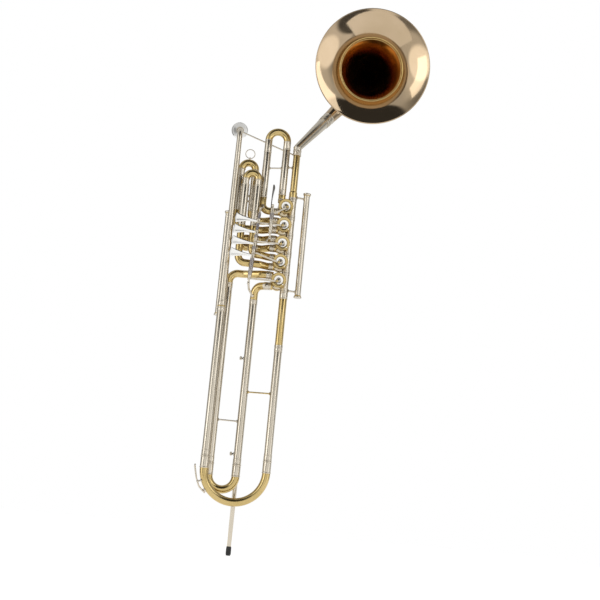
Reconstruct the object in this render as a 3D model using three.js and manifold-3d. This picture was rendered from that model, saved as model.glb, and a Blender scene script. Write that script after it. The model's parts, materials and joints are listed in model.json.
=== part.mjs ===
// A cimbasso: a contrabass valve trombone with five rotary valves, built in millimetres.
// +Z runs up along the tubes, the bell faces -Y and the player sits on the +Y side.
// The origin is the middle of the valve block, level with the second valve, where a stand's
// yoke or the player's hands hold the instrument.
import * as THREE from "three";
import { mergeVertices } from "three/addons/utils/BufferGeometryUtils.js";
import Module from "manifold-3d";

const wasm = await Module();
wasm.setup();

// ---------- driving dimensions ----------
const GAP = 0.3; // between pieces that touch
const WALL = 0.5; // tube wall
const SLIP = 0.4; // radial room for a slide leg inside its sleeve
const BRACE_R = 1.9;

const MAIN_BORE_R = 7.6;
const MAIN_LEG_R = MAIN_BORE_R + WALL;
const MAIN_TUBE_R = MAIN_LEG_R + SLIP + WALL;
const VALVE_BORE_R = 7.1;
const VALVE_LEG_R = VALVE_BORE_R + WALL;
const VALVE_TUBE_R = VALVE_LEG_R + SLIP + WALL;

const MAIN_SPACING = 140; // between the two legs of the main slide
const LEFT_X = -MAIN_SPACING / 2;
const RIGHT_X = MAIN_SPACING / 2;

const VALVE_PITCH = 44;
const VALVE_OFFSET_X = 16; // the valve axes lie this far inside the main tube
const VALVE_X = RIGHT_X - VALVE_OFFSET_X;
const CASING_R = 17.2;
const CASING_FRONT_Y = -23;
const CASING_BACK_Y = 21;
const FACE_RECESS_R = 11.6;
const FACE_RECESS_DEPTH = 2;
const FACE_WALL = 5;
const CHAMBER_R = 14.7;
const CHAMBER_BACK_Y = 16;
const ROTOR_CLEARANCE = 0.5;
const ROTOR_CHANNEL_X = 12;
const CAP_THICKNESS = 4;
const CAP_PROUD = 0.5;
const PORT_OFFSET_Z = 11; // a valve's slide ports lie this far above and below its axis
const FOURTH_PORT_OFFSET_Z = 13;
const PORT_END_X = VALVE_X - 20;
const RISING_PORT_HEIGHT = CASING_R + 3; // the fifth valve's upper port stands on top of it
const KNUCKLE_HALF_HEIGHT = VALVE_PITCH / 2 - GAP / 2;

const STEM_R = 3.5;
const STEM_CLEARANCE = 0.5;
const HUB_R = 5;
const STOP_ARM_THICKNESS = 2.6;
const STOP_PIN_R = 1.2;
const STOP_PIN_LENGTH = 5.4;
const STOP_ARM_LENGTH = 6;
const THUMB_STOP_ARM_LENGTH = 4.5;
const STOP_ARM_WIDTH = 4.4;
const STOP_SCREW_R = 2.4;

const SECOND_Y = 20;
const SECOND_TUBE_END_X = -12;
const SECOND_BOW_X = -28;
const SECOND_LEG_LENGTH = 16; // inside the tubes
const SECOND_BEND_R = 10;

// The rising slides: where the two tubes stand, how high they reach, and where the bow starts.
const FIFTH_SLIDE = { leftX: 0, rightX: 44, y: 0, leftTop: 221, rightTop: 232, bowZ: 250,
  legLength: 90, braceZ: 180 };
const FIRST_SLIDE = { leftX: -56, rightX: -24, y: 17, leftTop: 160, rightTop: 160, bowZ: 177,
  legLength: 70, braceZ: 108 };
const THIRD_SLIDE = { leftX: -44, rightX: -15.5, y: -13, leftTop: 132, rightTop: 132, bowZ: 146,
  legLength: 75, braceZ: 90 };
const SLIDE_ELBOW_R = 16;

const PULL_RING_R = 11;
const PULL_RING_WIRE_R = 1;
const LUG_HOLE_R = 1.7;

const OUTER_TUBE_END_Z = -499;
const INLET_JOINT_Z = -240; // gold inlet tube meets the nickel slide tube
const LEADPIPE_JOINT_Z = -161;
const FERRULE_LENGTH = 28;
const FERRULE_R = MAIN_TUBE_R + 0.7;
const TUBE_BAND_R = MAIN_TUBE_R + 0.8;
const BAND_R = MAIN_TUBE_R + 1.5;
const BAND_LENGTH = 3;
const MAIN_LEG_LENGTH = 120; // inside the outer tube
const BOW_TUBE_R = 9.3;

const FOURTH_LEFT_X = -58;
const FOURTH_RIGHT_X = 3;
const FOURTH_Y = 22;
const FOURTH_TUBE_END_Z = -513;
const FOURTH_ELBOW_R = 20;
const FOURTH_RIGHT_ELBOW_R = 18;
const LOWER_BRACE_Z = -416.5;
const UPPER_BRACE_Z = -348;
const LEAD_BRACE_Y = 12;

const KEY_CAP_ANGLE = 38; // degrees down the left of the main bow
const KEY_PIVOT_ANGLE = 21;
const KEY_TOUCH_ANGLE = -2;
const KEY_PIVOT_HEIGHT = 7;
const KEY_POST_Y = 5;

const LEADPIPE_TOP_Z = 264;
const LEADPIPE_BEND_R = 22;
const LEADPIPE_TOP_R = 6;
const LEADPIPE_FOOT_R = MAIN_TUBE_R - 0.7;
const LEADPIPE_WALL = 0.9;
const LEADPIPE_BAND = 4; // height of the ring at its foot
const MOUTH_TILT = THREE.MathUtils.degToRad(19);
const LEADPIPE_NOSE = 36; // from the bend's corner to the receiver
const RECEIVER_LENGTH = 34;
const RECEIVER_R = 8.6;
const RECEIVER_BORE_R = 5.6;

const MOUTHPIECE_LENGTH = 84;
const MOUTHPIECE_RIM_R = 20.4;
const MOUTHPIECE_CUP_R = 13.2;
const SHANK_IN_RECEIVER = 24;

const BRANCH_X = RIGHT_X - 0.5;
const BRANCH_R = 8.3;
const BRANCH_TOP_Z = 231;
const COLLAR_R = 10;
const COLLAR_LENGTH = 12;
const TENON_R = 6.9;
const TENON_LENGTH = 30;

const BELL_RIM_R = 128;
const BELL_WALL = 0.8;
const BEAD_R = 2.2;
const BELL_MOUTH = new THREE.Vector3(210, -160, 399);
const BELL_CORNER = new THREE.Vector3(228, 121, 463);
const BELL_BEND_R = 75;
const BELL_FLARE_LENGTH = 70;
const BELL_FLARE_POWER = 1.2;
const BELL_TAIL_TRIM = 2.6;
const STEM_LENGTH = 120;
const LOCK_WING_ANGLE = 0.6;

const GRIP_R = 7;
const GRIP_CAP_R = 9.5;
const GRIP_CAP_LENGTH = 4;
const GRIP_LENGTH = 5 * VALVE_PITCH + 32; // a little longer than the row of valves
const RIGHT_GRIP = new THREE.Vector3(RIGHT_X + 33, 5, 5);
const LEFT_GRIP = new THREE.Vector3(LEFT_X - 6, 40, -50);
const GRIP_BRACE_INSET = 14;

const HINGE_Y = -48.5;
const HINGE_TOP = new THREE.Vector3(-5.5, HINGE_Y, 67);
const HINGE_TILT = 0.057; // sideways run of the lever axis for each unit of height
const HINGE_ROD_R = 2;
const HINGE_ROD_LENGTH = 174;
const SLEEVE_R = 4;
const SLEEVE_CLEARANCE = 0.4;
const CRANK_LENGTH = 20;
const CRANK_THICKNESS = 2.6;
const CRANK_PIN_R = 1.3;
const LINK_EYE_R = 3.8;
const LINK_THICKNESS = 3;
const LINK_ROD_R = 1.6;
const LINK_STRAIGHT = 9; // before a link slopes to its valve
const EYE_CLEARANCE = 1.45; // lets the eye ride the stop pin's arc
const HINGE_SINK = 0.37; // half of what a crank sinks on the tilted hinge as it swings
const PADDLE_LENGTH = 49;
const PADDLE_HEIGHT = 23;
const PADDLE_THICKNESS = 1.8;
const PADDLE_Z = [38, 12, -15.5, -43.5];
const CRANK_Z = [39, -5, -33, -93];

const THUMB_HINGE = new THREE.Vector3(VALVE_X - 32, HINGE_Y, 40);
const THUMB_ROD_LENGTH = 74;
const BLADE_CURL = 0.0116; // bends the thumb blade across its width
const BLADE_REACH = 31;

const ENDPIN_X = 5;
const ENDPIN_R = 5;
const ENDPIN_Y = FOURTH_Y + MAIN_TUBE_R + ENDPIN_R + 2;
const ENDPIN_TIP_Z = -716;
const ENDPIN_TIP_LENGTH = 20;
const ENDPIN_TIP_R = 5.9;
const ENDPIN_TOP_Z = -250;
const CLAMP_Z = [-270, -490];
const CLAMP_HEIGHT = 12;
const CLAMP_BOSS_REACH = 12;
const CLAMP_SCREW_R = 1.8;

const COLOURS = {
  yellow_brass: { color: 0xc9a24e, roughness: 0.18, metalness: 1 },
  gold_brass: { color: 0xb98a55, roughness: 0.14, metalness: 1 },
  nickel_silver: { color: 0xc2bdb2, roughness: 0.2, metalness: 1 },
  silver_plate: { color: 0xdedcd6, roughness: 0.12, metalness: 1 },
  blued_steel: { color: 0x3a3733, roughness: 0.3, metalness: 1 },
  rubber: { color: 0x151515, roughness: 0.75, metalness: 0 },
};

const root = new THREE.Group();
const v3 = (x, y, z) => new THREE.Vector3(x, y, z);
const SIDES = 10;
const MAIN_SIDES = 10;
const CASING_SIDES = 16;
const BELL_SIDES = 24;
const PIN_SIDES = 8;
const ROD_SIDES = 16;

// ---------- routes and pipes ----------

// A path through corner points, each interior corner rounded to its radius.
function route(corners, radii, step = 0.55) {
  const points = [{ p: corners[0].clone() }];
  const t0 = corners[1].clone().sub(corners[0]).normalize();
  points[0].t = t0;
  for (let i = 1; i < corners.length - 1; i++) {
    const before = corners[i].clone().sub(corners[i - 1]).normalize();
    const after = corners[i + 1].clone().sub(corners[i]).normalize();
    const turn = before.angleTo(after);
    if (turn < 1e-4) continue;
    const r = Array.isArray(radii) ? radii[i - 1] : radii;
    const start = corners[i].clone().addScaledVector(before, -r * Math.tan(turn / 2));
    const axis = before.clone().cross(after).normalize();
    const centre = start.clone().addScaledVector(axis.clone().cross(before), r);
    const steps = Math.max(2, Math.ceil(turn / step));
    for (let k = 0; k <= steps; k++) {
      const angle = (turn * k) / steps;
      const p = start.clone().sub(centre).applyAxisAngle(axis, angle).add(centre);
      points.push({ p, t: before.clone().applyAxisAngle(axis, angle) });
    }
  }
  const last = corners[corners.length - 1];
  const tEnd = last.clone().sub(corners[corners.length - 2]).normalize();
  points.push({ p: last.clone(), t: tEnd });
  const kept = points.filter((q, i) => i === 0 || q.p.distanceTo(points[i - 1].p) > 1e-3);
  kept[0].s = 0;
  for (let i = 1; i < kept.length; i++)
    kept[i].s = kept[i - 1].s + kept[i].p.distanceTo(kept[i - 1].p);
  return kept;
}

const lengthOf = (path) => path[path.length - 1].s;

// The stretch of a path from distance a to distance b.
function stretch(path, a, b) {
  const at = (s) => {
    const i = Math.max(1, path.findIndex((q) => q.s >= s - 1e-6));
    const [q0, q1] = [path[i - 1], path[i]];
    const k = (s - q0.s) / (q1.s - q0.s);
    return { p: q0.p.clone().lerp(q1.p, k), t: q0.t.clone().lerp(q1.t, k).normalize(), s: s - a };
  };
  const inner = path.filter((q) => q.s > a + 1e-3 && q.s < b - 1e-3);
  return [at(a), ...inner.map((q) => ({ ...q, s: q.s - a })), at(b)];
}

// Frames that don't twist along a path: x and z span the section, y is the way along.
function framesOf(path) {
  const up = Math.abs(path[0].t.y) < 0.9 ? v3(0, 1, 0) : v3(1, 0, 0);
  let x = up.clone().cross(path[0].t).normalize();
  return path.map((q, i) => {
    if (i > 0) {
      const turn = new THREE.Quaternion().setFromUnitVectors(path[i - 1].t, q.t);
      x = x.clone().applyQuaternion(turn).normalize();
    }
    return { p: q.p, x, z: x.clone().cross(q.t) };
  });
}

// A radius along a path as [distance, radius] pairs, with a pair at each station of the path.
function radiusPairs(radius, path) {
  if (typeof radius === "function") return path.map((q) => [q.s, radius(q.s)]);
  const pairs = Array.isArray(radius) ? radius : [[0, radius], [lengthOf(path), radius]];
  const out = [];
  pairs.forEach(([s, r], i) => {
    if (i > 0) {
      const [s0, r0] = pairs[i - 1];
      for (const q of path)
        if (q.s > s0 + 1e-3 && q.s < s - 1e-3)
          out.push([q.s, r0 + ((r - r0) * (q.s - s0)) / (s - s0)]);
    }
    out.push([s, r]);
  });
  return out;
}

// A round pipe, or a round bar where inner is 0, as a lathe profile carried along a path.
function pipe(path, outer, inner = 0, sides = SIDES) {
  const outside = radiusPairs(outer, path);
  const pairs = inner
    ? [...outside, ...radiusPairs(inner, path).reverse(), outside[0]]
    : [[0, 0], ...outside, [lengthOf(path), 0]];
  const profile = pairs.map(([s, r]) => new THREE.Vector2(r, s));
  const geometry = new THREE.LatheGeometry(profile, sides);
  const stations = path.map((q) => q.s);
  const frames = framesOf(path);
  const position = geometry.getAttribute("position");
  for (let i = 0; i < position.count; i++) {
    const s = profile[i % profile.length].y;
    let k = stations.findIndex((d) => d >= s - 1e-6);
    if (k < 1) k = 1;
    const share = (s - stations[k - 1]) / (stations[k] - stations[k - 1]);
    const near = share > 0.5 ? frames[k] : frames[k - 1];
    const p = frames[k - 1].p.clone().lerp(frames[k].p, share);
    p.addScaledVector(near.x, position.getX(i)).addScaledVector(near.z, position.getZ(i));
    position.setXYZ(i, p.x, p.y, p.z);
  }
  return geometry;
}

const straight = (a, b) => route([a, b], 0);
const bar = (a, b, r, sides = SIDES) => pipe(straight(a, b), r, 0, sides);

// ---------- solids ----------

function solid(geometry) {
  const plain = geometry.index ? geometry.toNonIndexed() : geometry.clone();
  plain.deleteAttribute("normal");
  plain.deleteAttribute("uv");
  const merged = mergeVertices(plain, 1e-3);
  return new wasm.Manifold(new wasm.Mesh({
    numProp: 3,
    vertProperties: merged.attributes.position.array,
    triVerts: new Uint32Array(merged.index.array),
  }));
}

function geometryOf(manifold) {
  const mesh = manifold.getMesh();
  const geometry = new THREE.BufferGeometry();
  geometry.setAttribute("position", new THREE.BufferAttribute(mesh.vertProperties, 3));
  geometry.setIndex(new THREE.BufferAttribute(mesh.triVerts, 1));
  const flat = geometry.toNonIndexed();
  flat.computeVertexNormals();
  return flat;
}

const join = (...geometries) => geometries.map(solid).reduce((a, b) => a.add(b));
const cut = (body, ...tools) => tools.reduce((a, b) => a.subtract(solid(b)), body);

// A brace between two tube centres, cut back to clear each neighbour by GAP.
function brace(corners, neighbours, r = BRACE_R, bend = 6) {
  return cut(solid(pipe(route(corners, bend), r, 0, 6)), ...neighbours);
}

function add(name, shape, colour, parent = root) {
  const geometry = shape.isBufferGeometry ? shape : geometryOf(shape);
  const mesh = new THREE.Mesh(geometry, new THREE.MeshStandardMaterial(COLOURS[colour]));
  mesh.name = name;
  parent.add(mesh);
  return mesh;
}

// ---------- main line: leadpipe, main slide tubes, inlet tube ----------

const mouthAxis = v3(0, Math.cos(MOUTH_TILT), Math.sin(MOUTH_TILT));
const leadCorner = v3(LEFT_X, 0, LEADPIPE_TOP_Z);
const receiverStart = leadCorner.clone().addScaledVector(mouthAxis, LEADPIPE_NOSE);
const receiverEnd = receiverStart.clone().addScaledVector(mouthAxis, RECEIVER_LENGTH);
const leadPath = route([v3(LEFT_X, 0, LEADPIPE_JOINT_Z + GAP), leadCorner, receiverEnd],
  LEADPIPE_BEND_R);
const leadTaper = lengthOf(leadPath) - RECEIVER_LENGTH - LEADPIPE_BAND;

// Outer radius of the leadpipe at a height on its upright run.
function leadR(z) {
  const share = (z - LEADPIPE_JOINT_Z - GAP - LEADPIPE_BAND) / leadTaper;
  return LEADPIPE_FOOT_R + (LEADPIPE_TOP_R - LEADPIPE_FOOT_R) * share;
}

function leadpipe() {
  const end = lengthOf(leadPath);
  const tip = end - RECEIVER_LENGTH;
  const outer = [[0, LEADPIPE_FOOT_R + 1], [LEADPIPE_BAND, LEADPIPE_FOOT_R + 1],
    [LEADPIPE_BAND, LEADPIPE_FOOT_R], [tip, LEADPIPE_TOP_R], [tip, RECEIVER_R],
    [end - 3, RECEIVER_R], [end - 3, RECEIVER_R + 1], [end, RECEIVER_R + 1]];
  const inner = [[0, LEADPIPE_FOOT_R - LEADPIPE_WALL], [tip, LEADPIPE_TOP_R - LEADPIPE_WALL],
    [tip + 6, RECEIVER_BORE_R], [end, RECEIVER_BORE_R + 0.6]];
  return pipe(leadPath, outer, inner);
}

function slideTube(x, y, top, bottom) {
  const path = straight(v3(x, y, bottom), v3(x, y, top));
  const outer = [[0, TUBE_BAND_R], [2.5, TUBE_BAND_R], [2.5, MAIN_TUBE_R],
    [lengthOf(path), MAIN_TUBE_R]];
  return pipe(path, outer, MAIN_TUBE_R - WALL, MAIN_SIDES);
}

// A neighbour's outline, grown by GAP, to cut braces back with.
const around = (path, r, sides = MAIN_SIDES) => pipe(path, r + GAP, 0, sides);

const fourthValveZ = -2 * VALVE_PITCH;
const inletTopZ = fourthValveZ - KNUCKLE_HALF_HEIGHT - GAP;
const inletPath = straight(v3(RIGHT_X, 0, INLET_JOINT_Z + GAP), v3(RIGHT_X, 0, inletTopZ));

function inletTube() {
  const end = lengthOf(inletPath);
  const outer = [[0, TUBE_BAND_R], [4, TUBE_BAND_R], [4, MAIN_TUBE_R], [end - 14, MAIN_TUBE_R],
    [end - 14, TUBE_BAND_R], [end, TUBE_BAND_R]];
  return pipe(inletPath, outer, MAIN_BORE_R, MAIN_SIDES);
}

add("leadpipe", leadpipe(), "nickel_silver");
add("main_outer_tube_left", slideTube(LEFT_X, 0, LEADPIPE_JOINT_Z, OUTER_TUBE_END_Z), "nickel_silver");
add("main_outer_tube_right", slideTube(RIGHT_X, 0, INLET_JOINT_Z, OUTER_TUBE_END_Z), "nickel_silver");
add("valve_inlet_tube", inletTube(), "yellow_brass");

// ---------- valves ----------

// Each valve is a casing on the Y axis of its own group, with the main line on its right.
function casing(valve) {
  const recessBack = CASING_FRONT_Y + FACE_RECESS_DEPTH;
  const pieces = [bar(v3(0, CASING_FRONT_Y, 0), v3(0, CASING_BACK_Y, 0), CASING_R, CASING_SIDES),
    bar(v3(VALVE_OFFSET_X, 0, -KNUCKLE_HALF_HEIGHT), v3(VALVE_OFFSET_X, 0, KNUCKLE_HALF_HEIGHT),
      MAIN_TUBE_R, MAIN_SIDES)];
  const bores = [
    bar(v3(0, recessBack + FACE_WALL, 0), v3(0, CASING_BACK_Y + 9, 0), CHAMBER_R, CASING_SIDES),
    bar(v3(0, CASING_FRONT_Y - 1, 0), v3(0, recessBack, 0), FACE_RECESS_R, CASING_SIDES),
    bar(v3(0, CASING_FRONT_Y - 9, 0), v3(0, 0, 0), STEM_R + STEM_CLEARANCE)];
  for (const side of [-1, 1]) {
    const far = side * (KNUCKLE_HALF_HEIGHT + 1);
    bores.push(bar(v3(VALVE_OFFSET_X, 0, side * 6), v3(VALVE_OFFSET_X, 0, far), MAIN_BORE_R));
    const top = valve.risingPort && side === 1;
    const x = top ? FIFTH_SLIDE.rightX - VALVE_X : PORT_END_X - VALVE_X;
    const mouth = top ? v3(x, 0, RISING_PORT_HEIGHT) : v3(x, 0, side * valve.port);
    const inside = top ? v3(x, 0, 4) : v3(-6, 0, side * valve.port);
    const beyond = mouth.clone().sub(inside).normalize().add(mouth);
    pieces.push(bar(inside, mouth, VALVE_TUBE_R));
    bores.push(bar(inside, beyond, VALVE_BORE_R));
  }
  return cut(join(...pieces), ...bores);
}

function backCap() {
  const capBack = CASING_BACK_Y + CAP_THICKNESS;
  const plug = bar(v3(0, CHAMBER_BACK_Y + 1, 0), v3(0, CASING_BACK_Y + GAP, 0),
    CHAMBER_R - ROTOR_CLEARANCE, CASING_SIDES);
  const flange = bar(v3(0, CASING_BACK_Y + GAP, 0), v3(0, capBack + GAP, 0),
    CASING_R + CAP_PROUD, CASING_SIDES);
  const button = bar(v3(0, capBack, 0), v3(0, capBack + 2, 0), 6);
  return join(plug, flange, button);
}

// A rotor with two side channels, its stem, and the stop arm that the link turns.
function rotor(armLength, armAngle) {
  const drumR = CHAMBER_R - ROTOR_CLEARANCE;
  const front = CASING_FRONT_Y + FACE_WALL + FACE_RECESS_DEPTH + ROTOR_CLEARANCE;
  const drum = cut(solid(bar(v3(0, front, 0), v3(0, CHAMBER_BACK_Y, 0), drumR, CASING_SIDES)),
    ...[-1, 1].map((side) => bar(v3(side * ROTOR_CHANNEL_X, 0, -20),
      v3(side * ROTOR_CHANNEL_X, 0, 20), VALVE_BORE_R)));
  const armFront = CASING_FRONT_Y - GAP - STOP_ARM_THICKNESS;
  const stem = bar(v3(0, 0, 0), v3(0, armFront, 0), STEM_R);
  const hub = bar(v3(0, CASING_FRONT_Y + 1, 0), v3(0, armFront, 0), HUB_R);
  const screw = bar(v3(0, armFront, 0), v3(0, armFront - 0.8, 0), STOP_SCREW_R);
  const pin = v3(Math.cos(armAngle) * armLength, 0, Math.sin(armAngle) * armLength);
  const arm = new THREE.BoxGeometry(armLength + 2, STOP_ARM_THICKNESS, STOP_ARM_WIDTH);
  arm.translate((armLength + 2) / 2, armFront + STOP_ARM_THICKNESS / 2, 0);
  arm.rotateY(-armAngle);
  const pinBar = bar(v3(pin.x, armFront, pin.z),
    v3(pin.x, armFront - STOP_PIN_LENGTH, pin.z), STOP_PIN_R, PIN_SIDES);
  const eye = bar(v3(pin.x, armFront + STOP_ARM_THICKNESS, pin.z), v3(pin.x, armFront, pin.z), 2.8);
  return drum.add(join(stem, hub, screw, arm, eye, pinBar));
}

const LEFT_DOWN = THREE.MathUtils.degToRad(225);
const RIGHT_DOWN = THREE.MathUtils.degToRad(315);
const valves = [
  { n: 1, z: VALVE_PITCH, port: PORT_OFFSET_Z, arm: STOP_ARM_LENGTH, angle: LEFT_DOWN },
  { n: 2, z: 0, port: PORT_OFFSET_Z, arm: STOP_ARM_LENGTH, angle: LEFT_DOWN },
  { n: 3, z: -VALVE_PITCH, port: PORT_OFFSET_Z, arm: STOP_ARM_LENGTH, angle: LEFT_DOWN },
  { n: 4, z: fourthValveZ, port: FOURTH_PORT_OFFSET_Z, arm: STOP_ARM_LENGTH, angle: LEFT_DOWN },
  { n: 5, z: 2 * VALVE_PITCH, port: PORT_OFFSET_Z, arm: THUMB_STOP_ARM_LENGTH,
    angle: RIGHT_DOWN, risingPort: true },
];
for (const valve of valves) {
  const group = new THREE.Group();
  group.position.set(VALVE_X, 0, valve.z);
  root.add(group);
  add(`valve_casing_${valve.n}`, casing(valve), "yellow_brass", group);
  add(`valve_cap_${valve.n}`, backCap(), "yellow_brass", group);
  add(`rotor_${valve.n}`, rotor(valve.arm, valve.angle), "nickel_silver", group);
}

// ---------- valve slides ----------

const portX = PORT_END_X - GAP;
const port = (z) => v3(portX, 0, z);

// A slide tube from a valve port, turning up, with a band at its open end.
function portTube(corners, bends, boreFrom) {
  const path = route(corners, bends);
  const end = lengthOf(path);
  const band = VALVE_TUBE_R + 0.8;
  const outer = [[0, VALVE_TUBE_R], [end - 3, VALVE_TUBE_R], [end - 3, band], [end, band]];
  const wide = VALVE_TUBE_R - WALL;
  const inner = [[0, VALVE_BORE_R], [end - boreFrom, VALVE_BORE_R], [end - boreFrom, wide], [end, wide]];
  return { path, geometry: pipe(path, outer, inner) };
}

// The moving U: two legs inside their tubes and a wider bow between them, made along one path.
function slideU(corners, bowR, [a, b]) {
  const path = route(corners, bowR);
  const total = lengthOf(path);
  const band = 2;
  const bandR = VALVE_TUBE_R + 0.6;
  const bow = VALVE_TUBE_R + 0.2;
  const outer = [[0, VALVE_LEG_R], [a, VALVE_LEG_R], [a, bandR], [a + band, bandR], [a + band, bow],
    [total - b - band, bow], [total - b - band, bandR], [total - b, bandR], [total - b, VALVE_LEG_R],
    [total, VALVE_LEG_R]];
  return pipe(path, outer, VALVE_BORE_R);
}

// One tube of a rising slide: up from a port on top of the valve, or out of its side and up.
function risingTube(valve, x, y, z, top, legBore) {
  if (z > valve.port)
    return portTube([v3(x, y, valve.z + z + GAP), v3(x, y, top)], 0, legBore);
  const height = valve.z + z;
  const swerve = y === 0 ? [] : [v3(portX - 8, 0, height), v3(portX - 28, y, height)];
  const corners = [port(height), ...swerve, v3(x, y, height), v3(x, y, top)];
  return portTube(corners, [...swerve.map(() => 9), SLIDE_ELBOW_R], legBore);
}

// A pair of slide tubes that rise from a valve's ports, and the U that slides in them.
function risingSlide(name, valve, { leftX, rightX, y, leftTop, rightTop, bowZ, legLength, braceZ }) {
  const legBore = legLength + 2;
  const upper = valve.risingPort ? RISING_PORT_HEIGHT : valve.port;
  const runs = [risingTube(valve, leftX, y, -valve.port, leftTop, legBore),
    risingTube(valve, rightX, y, upper, rightTop, legBore)];
  const link = brace([v3(leftX, y, braceZ), v3(rightX, y, braceZ + 5)], []);
  const hollows = [leftX, rightX].map((x) =>
    bar(v3(x, y, braceZ - 12), v3(x, y, braceZ + 20), VALVE_TUBE_R - WALL));
  const tubes = join(...runs.map((run) => run.geometry)).add(cut(link, ...hollows));
  add(`${name}_slide_tubes`, tubes, "nickel_silver");
  const radius = (rightX - leftX) / 2;
  const crown = bowZ + radius;
  const corners = [v3(leftX, y, leftTop - legLength), v3(leftX, y, crown), v3(rightX, y, crown),
    v3(rightX, y, rightTop - legLength)];
  const u = slideU(corners, radius, [leftTop, rightTop].map((top) => legLength + bowZ - top - 2));
  return { runs, crown, u };
}

const [firstValve, , thirdValve, , fifthValve] = valves;

// Fifth valve: the tall slide beside the bell branch.
const fifth = risingSlide("fifth", fifthValve, FIFTH_SLIDE);
add("fifth_slide", fifth.u, "yellow_brass");

// First valve: the slide with the pull ring, in the rear row.
const first = risingSlide("first", firstValve, FIRST_SLIDE);
const firstMidX = (FIRST_SLIDE.leftX + FIRST_SLIDE.rightX) / 2;
const lugBase = first.crown + VALVE_TUBE_R;
const lugHole = lugBase + 2.6;
const acrossLug = (z, r, sides) =>
  bar(v3(firstMidX - 9, FIRST_SLIDE.y, z), v3(firstMidX + 9, FIRST_SLIDE.y, z), r, sides);
const lugPlate = new THREE.BoxGeometry(2.4, 6, 8).translate(firstMidX, FIRST_SLIDE.y, lugBase + 1);
const lug = cut(solid(lugPlate), acrossLug(lugHole, LUG_HOLE_R, PIN_SIDES),
  acrossLug(first.crown, VALVE_BORE_R));
add("first_slide", solid(first.u).add(lug), "yellow_brass");

const pullRing = add("pull_ring", new THREE.TorusGeometry(PULL_RING_R, PULL_RING_WIRE_R, 6, 20),
  "nickel_silver");
pullRing.position.set(firstMidX, FIRST_SLIDE.y, lugHole + PULL_RING_R);
pullRing.rotation.x = Math.PI / 2;

// Third valve: the shorter slide in the front row.
const third = risingSlide("third", thirdValve, THIRD_SLIDE);
add("third_slide", third.u, "yellow_brass");

// Second valve: a short slide that lies on its side behind the others.
const secondCorners = (z) => [port(z), v3(portX - 6, 0, z), v3(portX - 24, SECOND_Y, z),
  v3(SECOND_TUBE_END_X, SECOND_Y, z)];

function secondTubes() {
  const runs = [-1, 1].map((side) => {
    const z = side * PORT_OFFSET_Z;
    return portTube(secondCorners(z), SECOND_BEND_R, SECOND_LEG_LENGTH + 1).geometry;
  });
  const link = bar(v3(SECOND_TUBE_END_X + 8, SECOND_Y, -PORT_OFFSET_Z),
    v3(SECOND_TUBE_END_X + 8, SECOND_Y, PORT_OFFSET_Z), BRACE_R, PIN_SIDES);
  const hollows = [-1, 1].map((side) => bar(v3(SECOND_TUBE_END_X - 6, SECOND_Y, side * PORT_OFFSET_Z),
    v3(SECOND_TUBE_END_X + 16, SECOND_Y, side * PORT_OFFSET_Z), VALVE_TUBE_R - WALL));
  return join(...runs).add(cut(solid(link), ...hollows));
}

function secondSlide() {
  const reach = SECOND_BOW_X - PORT_OFFSET_Z;
  const startX = SECOND_TUBE_END_X + SECOND_LEG_LENGTH;
  const leg = startX - SECOND_BOW_X - 6;
  const corners = [v3(startX, SECOND_Y, -PORT_OFFSET_Z), v3(reach, SECOND_Y, -PORT_OFFSET_Z),
    v3(reach, SECOND_Y, PORT_OFFSET_Z), v3(startX, SECOND_Y, PORT_OFFSET_Z)];
  return slideU(corners, PORT_OFFSET_Z, [leg, leg]);
}

add("second_slide_tubes", secondTubes(), "nickel_silver");
add("second_slide", secondSlide(), "yellow_brass");

// Fourth valve: the long loop behind the main slide.
function fourthTube(x, portZ, bends, extra) {
  const path = route([v3(x, FOURTH_Y, FOURTH_TUBE_END_Z), v3(x, FOURTH_Y, portZ), ...extra,
    port(portZ)], bends);
  const outer = [[0, TUBE_BAND_R], [2.5, TUBE_BAND_R], [2.5, MAIN_TUBE_R],
    [lengthOf(path), MAIN_TUBE_R]];
  const sleeve = MAIN_LEG_LENGTH + 80; // the wide bore, where the slide leg runs
  const inner = [[0, MAIN_TUBE_R - WALL], [sleeve, MAIN_TUBE_R - WALL], [sleeve, MAIN_BORE_R],
    [lengthOf(path), MAIN_BORE_R]];
  return { path, geometry: pipe(path, outer, inner, MAIN_SIDES) };
}
const upperPort = fourthValveZ + FOURTH_PORT_OFFSET_Z;
const lowerPort = fourthValveZ - FOURTH_PORT_OFFSET_Z;
const fourthLeft = fourthTube(FOURTH_LEFT_X, upperPort, [FOURTH_ELBOW_R, 20, 20],
  [v3(-26, FOURTH_Y, upperPort), v3(14, 0, upperPort)]);
const fourthRight = fourthTube(FOURTH_RIGHT_X, lowerPort, [FOURTH_RIGHT_ELBOW_R, 8],
  [v3(portX - 6, 0, lowerPort)]);

const vertical = (x, y, r) => around(straight(v3(x, y, -520), v3(x, y, -200)), r);
const lowerBrace = brace([v3(FOURTH_LEFT_X, FOURTH_Y, LOWER_BRACE_Z),
  v3(FOURTH_RIGHT_X, FOURTH_Y, LOWER_BRACE_Z)], [vertical(FOURTH_RIGHT_X, FOURTH_Y, MAIN_TUBE_R),
  bar(v3(FOURTH_LEFT_X, FOURTH_Y, LOWER_BRACE_Z - 9), v3(FOURTH_LEFT_X, FOURTH_Y, LOWER_BRACE_Z + 9),
    MAIN_TUBE_R - WALL, MAIN_SIDES)]);
add("fourth_outer_tube_left", solid(fourthLeft.geometry).add(lowerBrace), "nickel_silver");
add("fourth_outer_tube_right", fourthRight.geometry, "nickel_silver");
add("brace_upper", brace([v3(FOURTH_RIGHT_X, FOURTH_Y, UPPER_BRACE_Z), v3(RIGHT_X, 0, UPPER_BRACE_Z)],
  [vertical(FOURTH_RIGHT_X, FOURTH_Y, MAIN_TUBE_R), vertical(RIGHT_X, 0, MAIN_TUBE_R)]), "yellow_brass");

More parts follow.
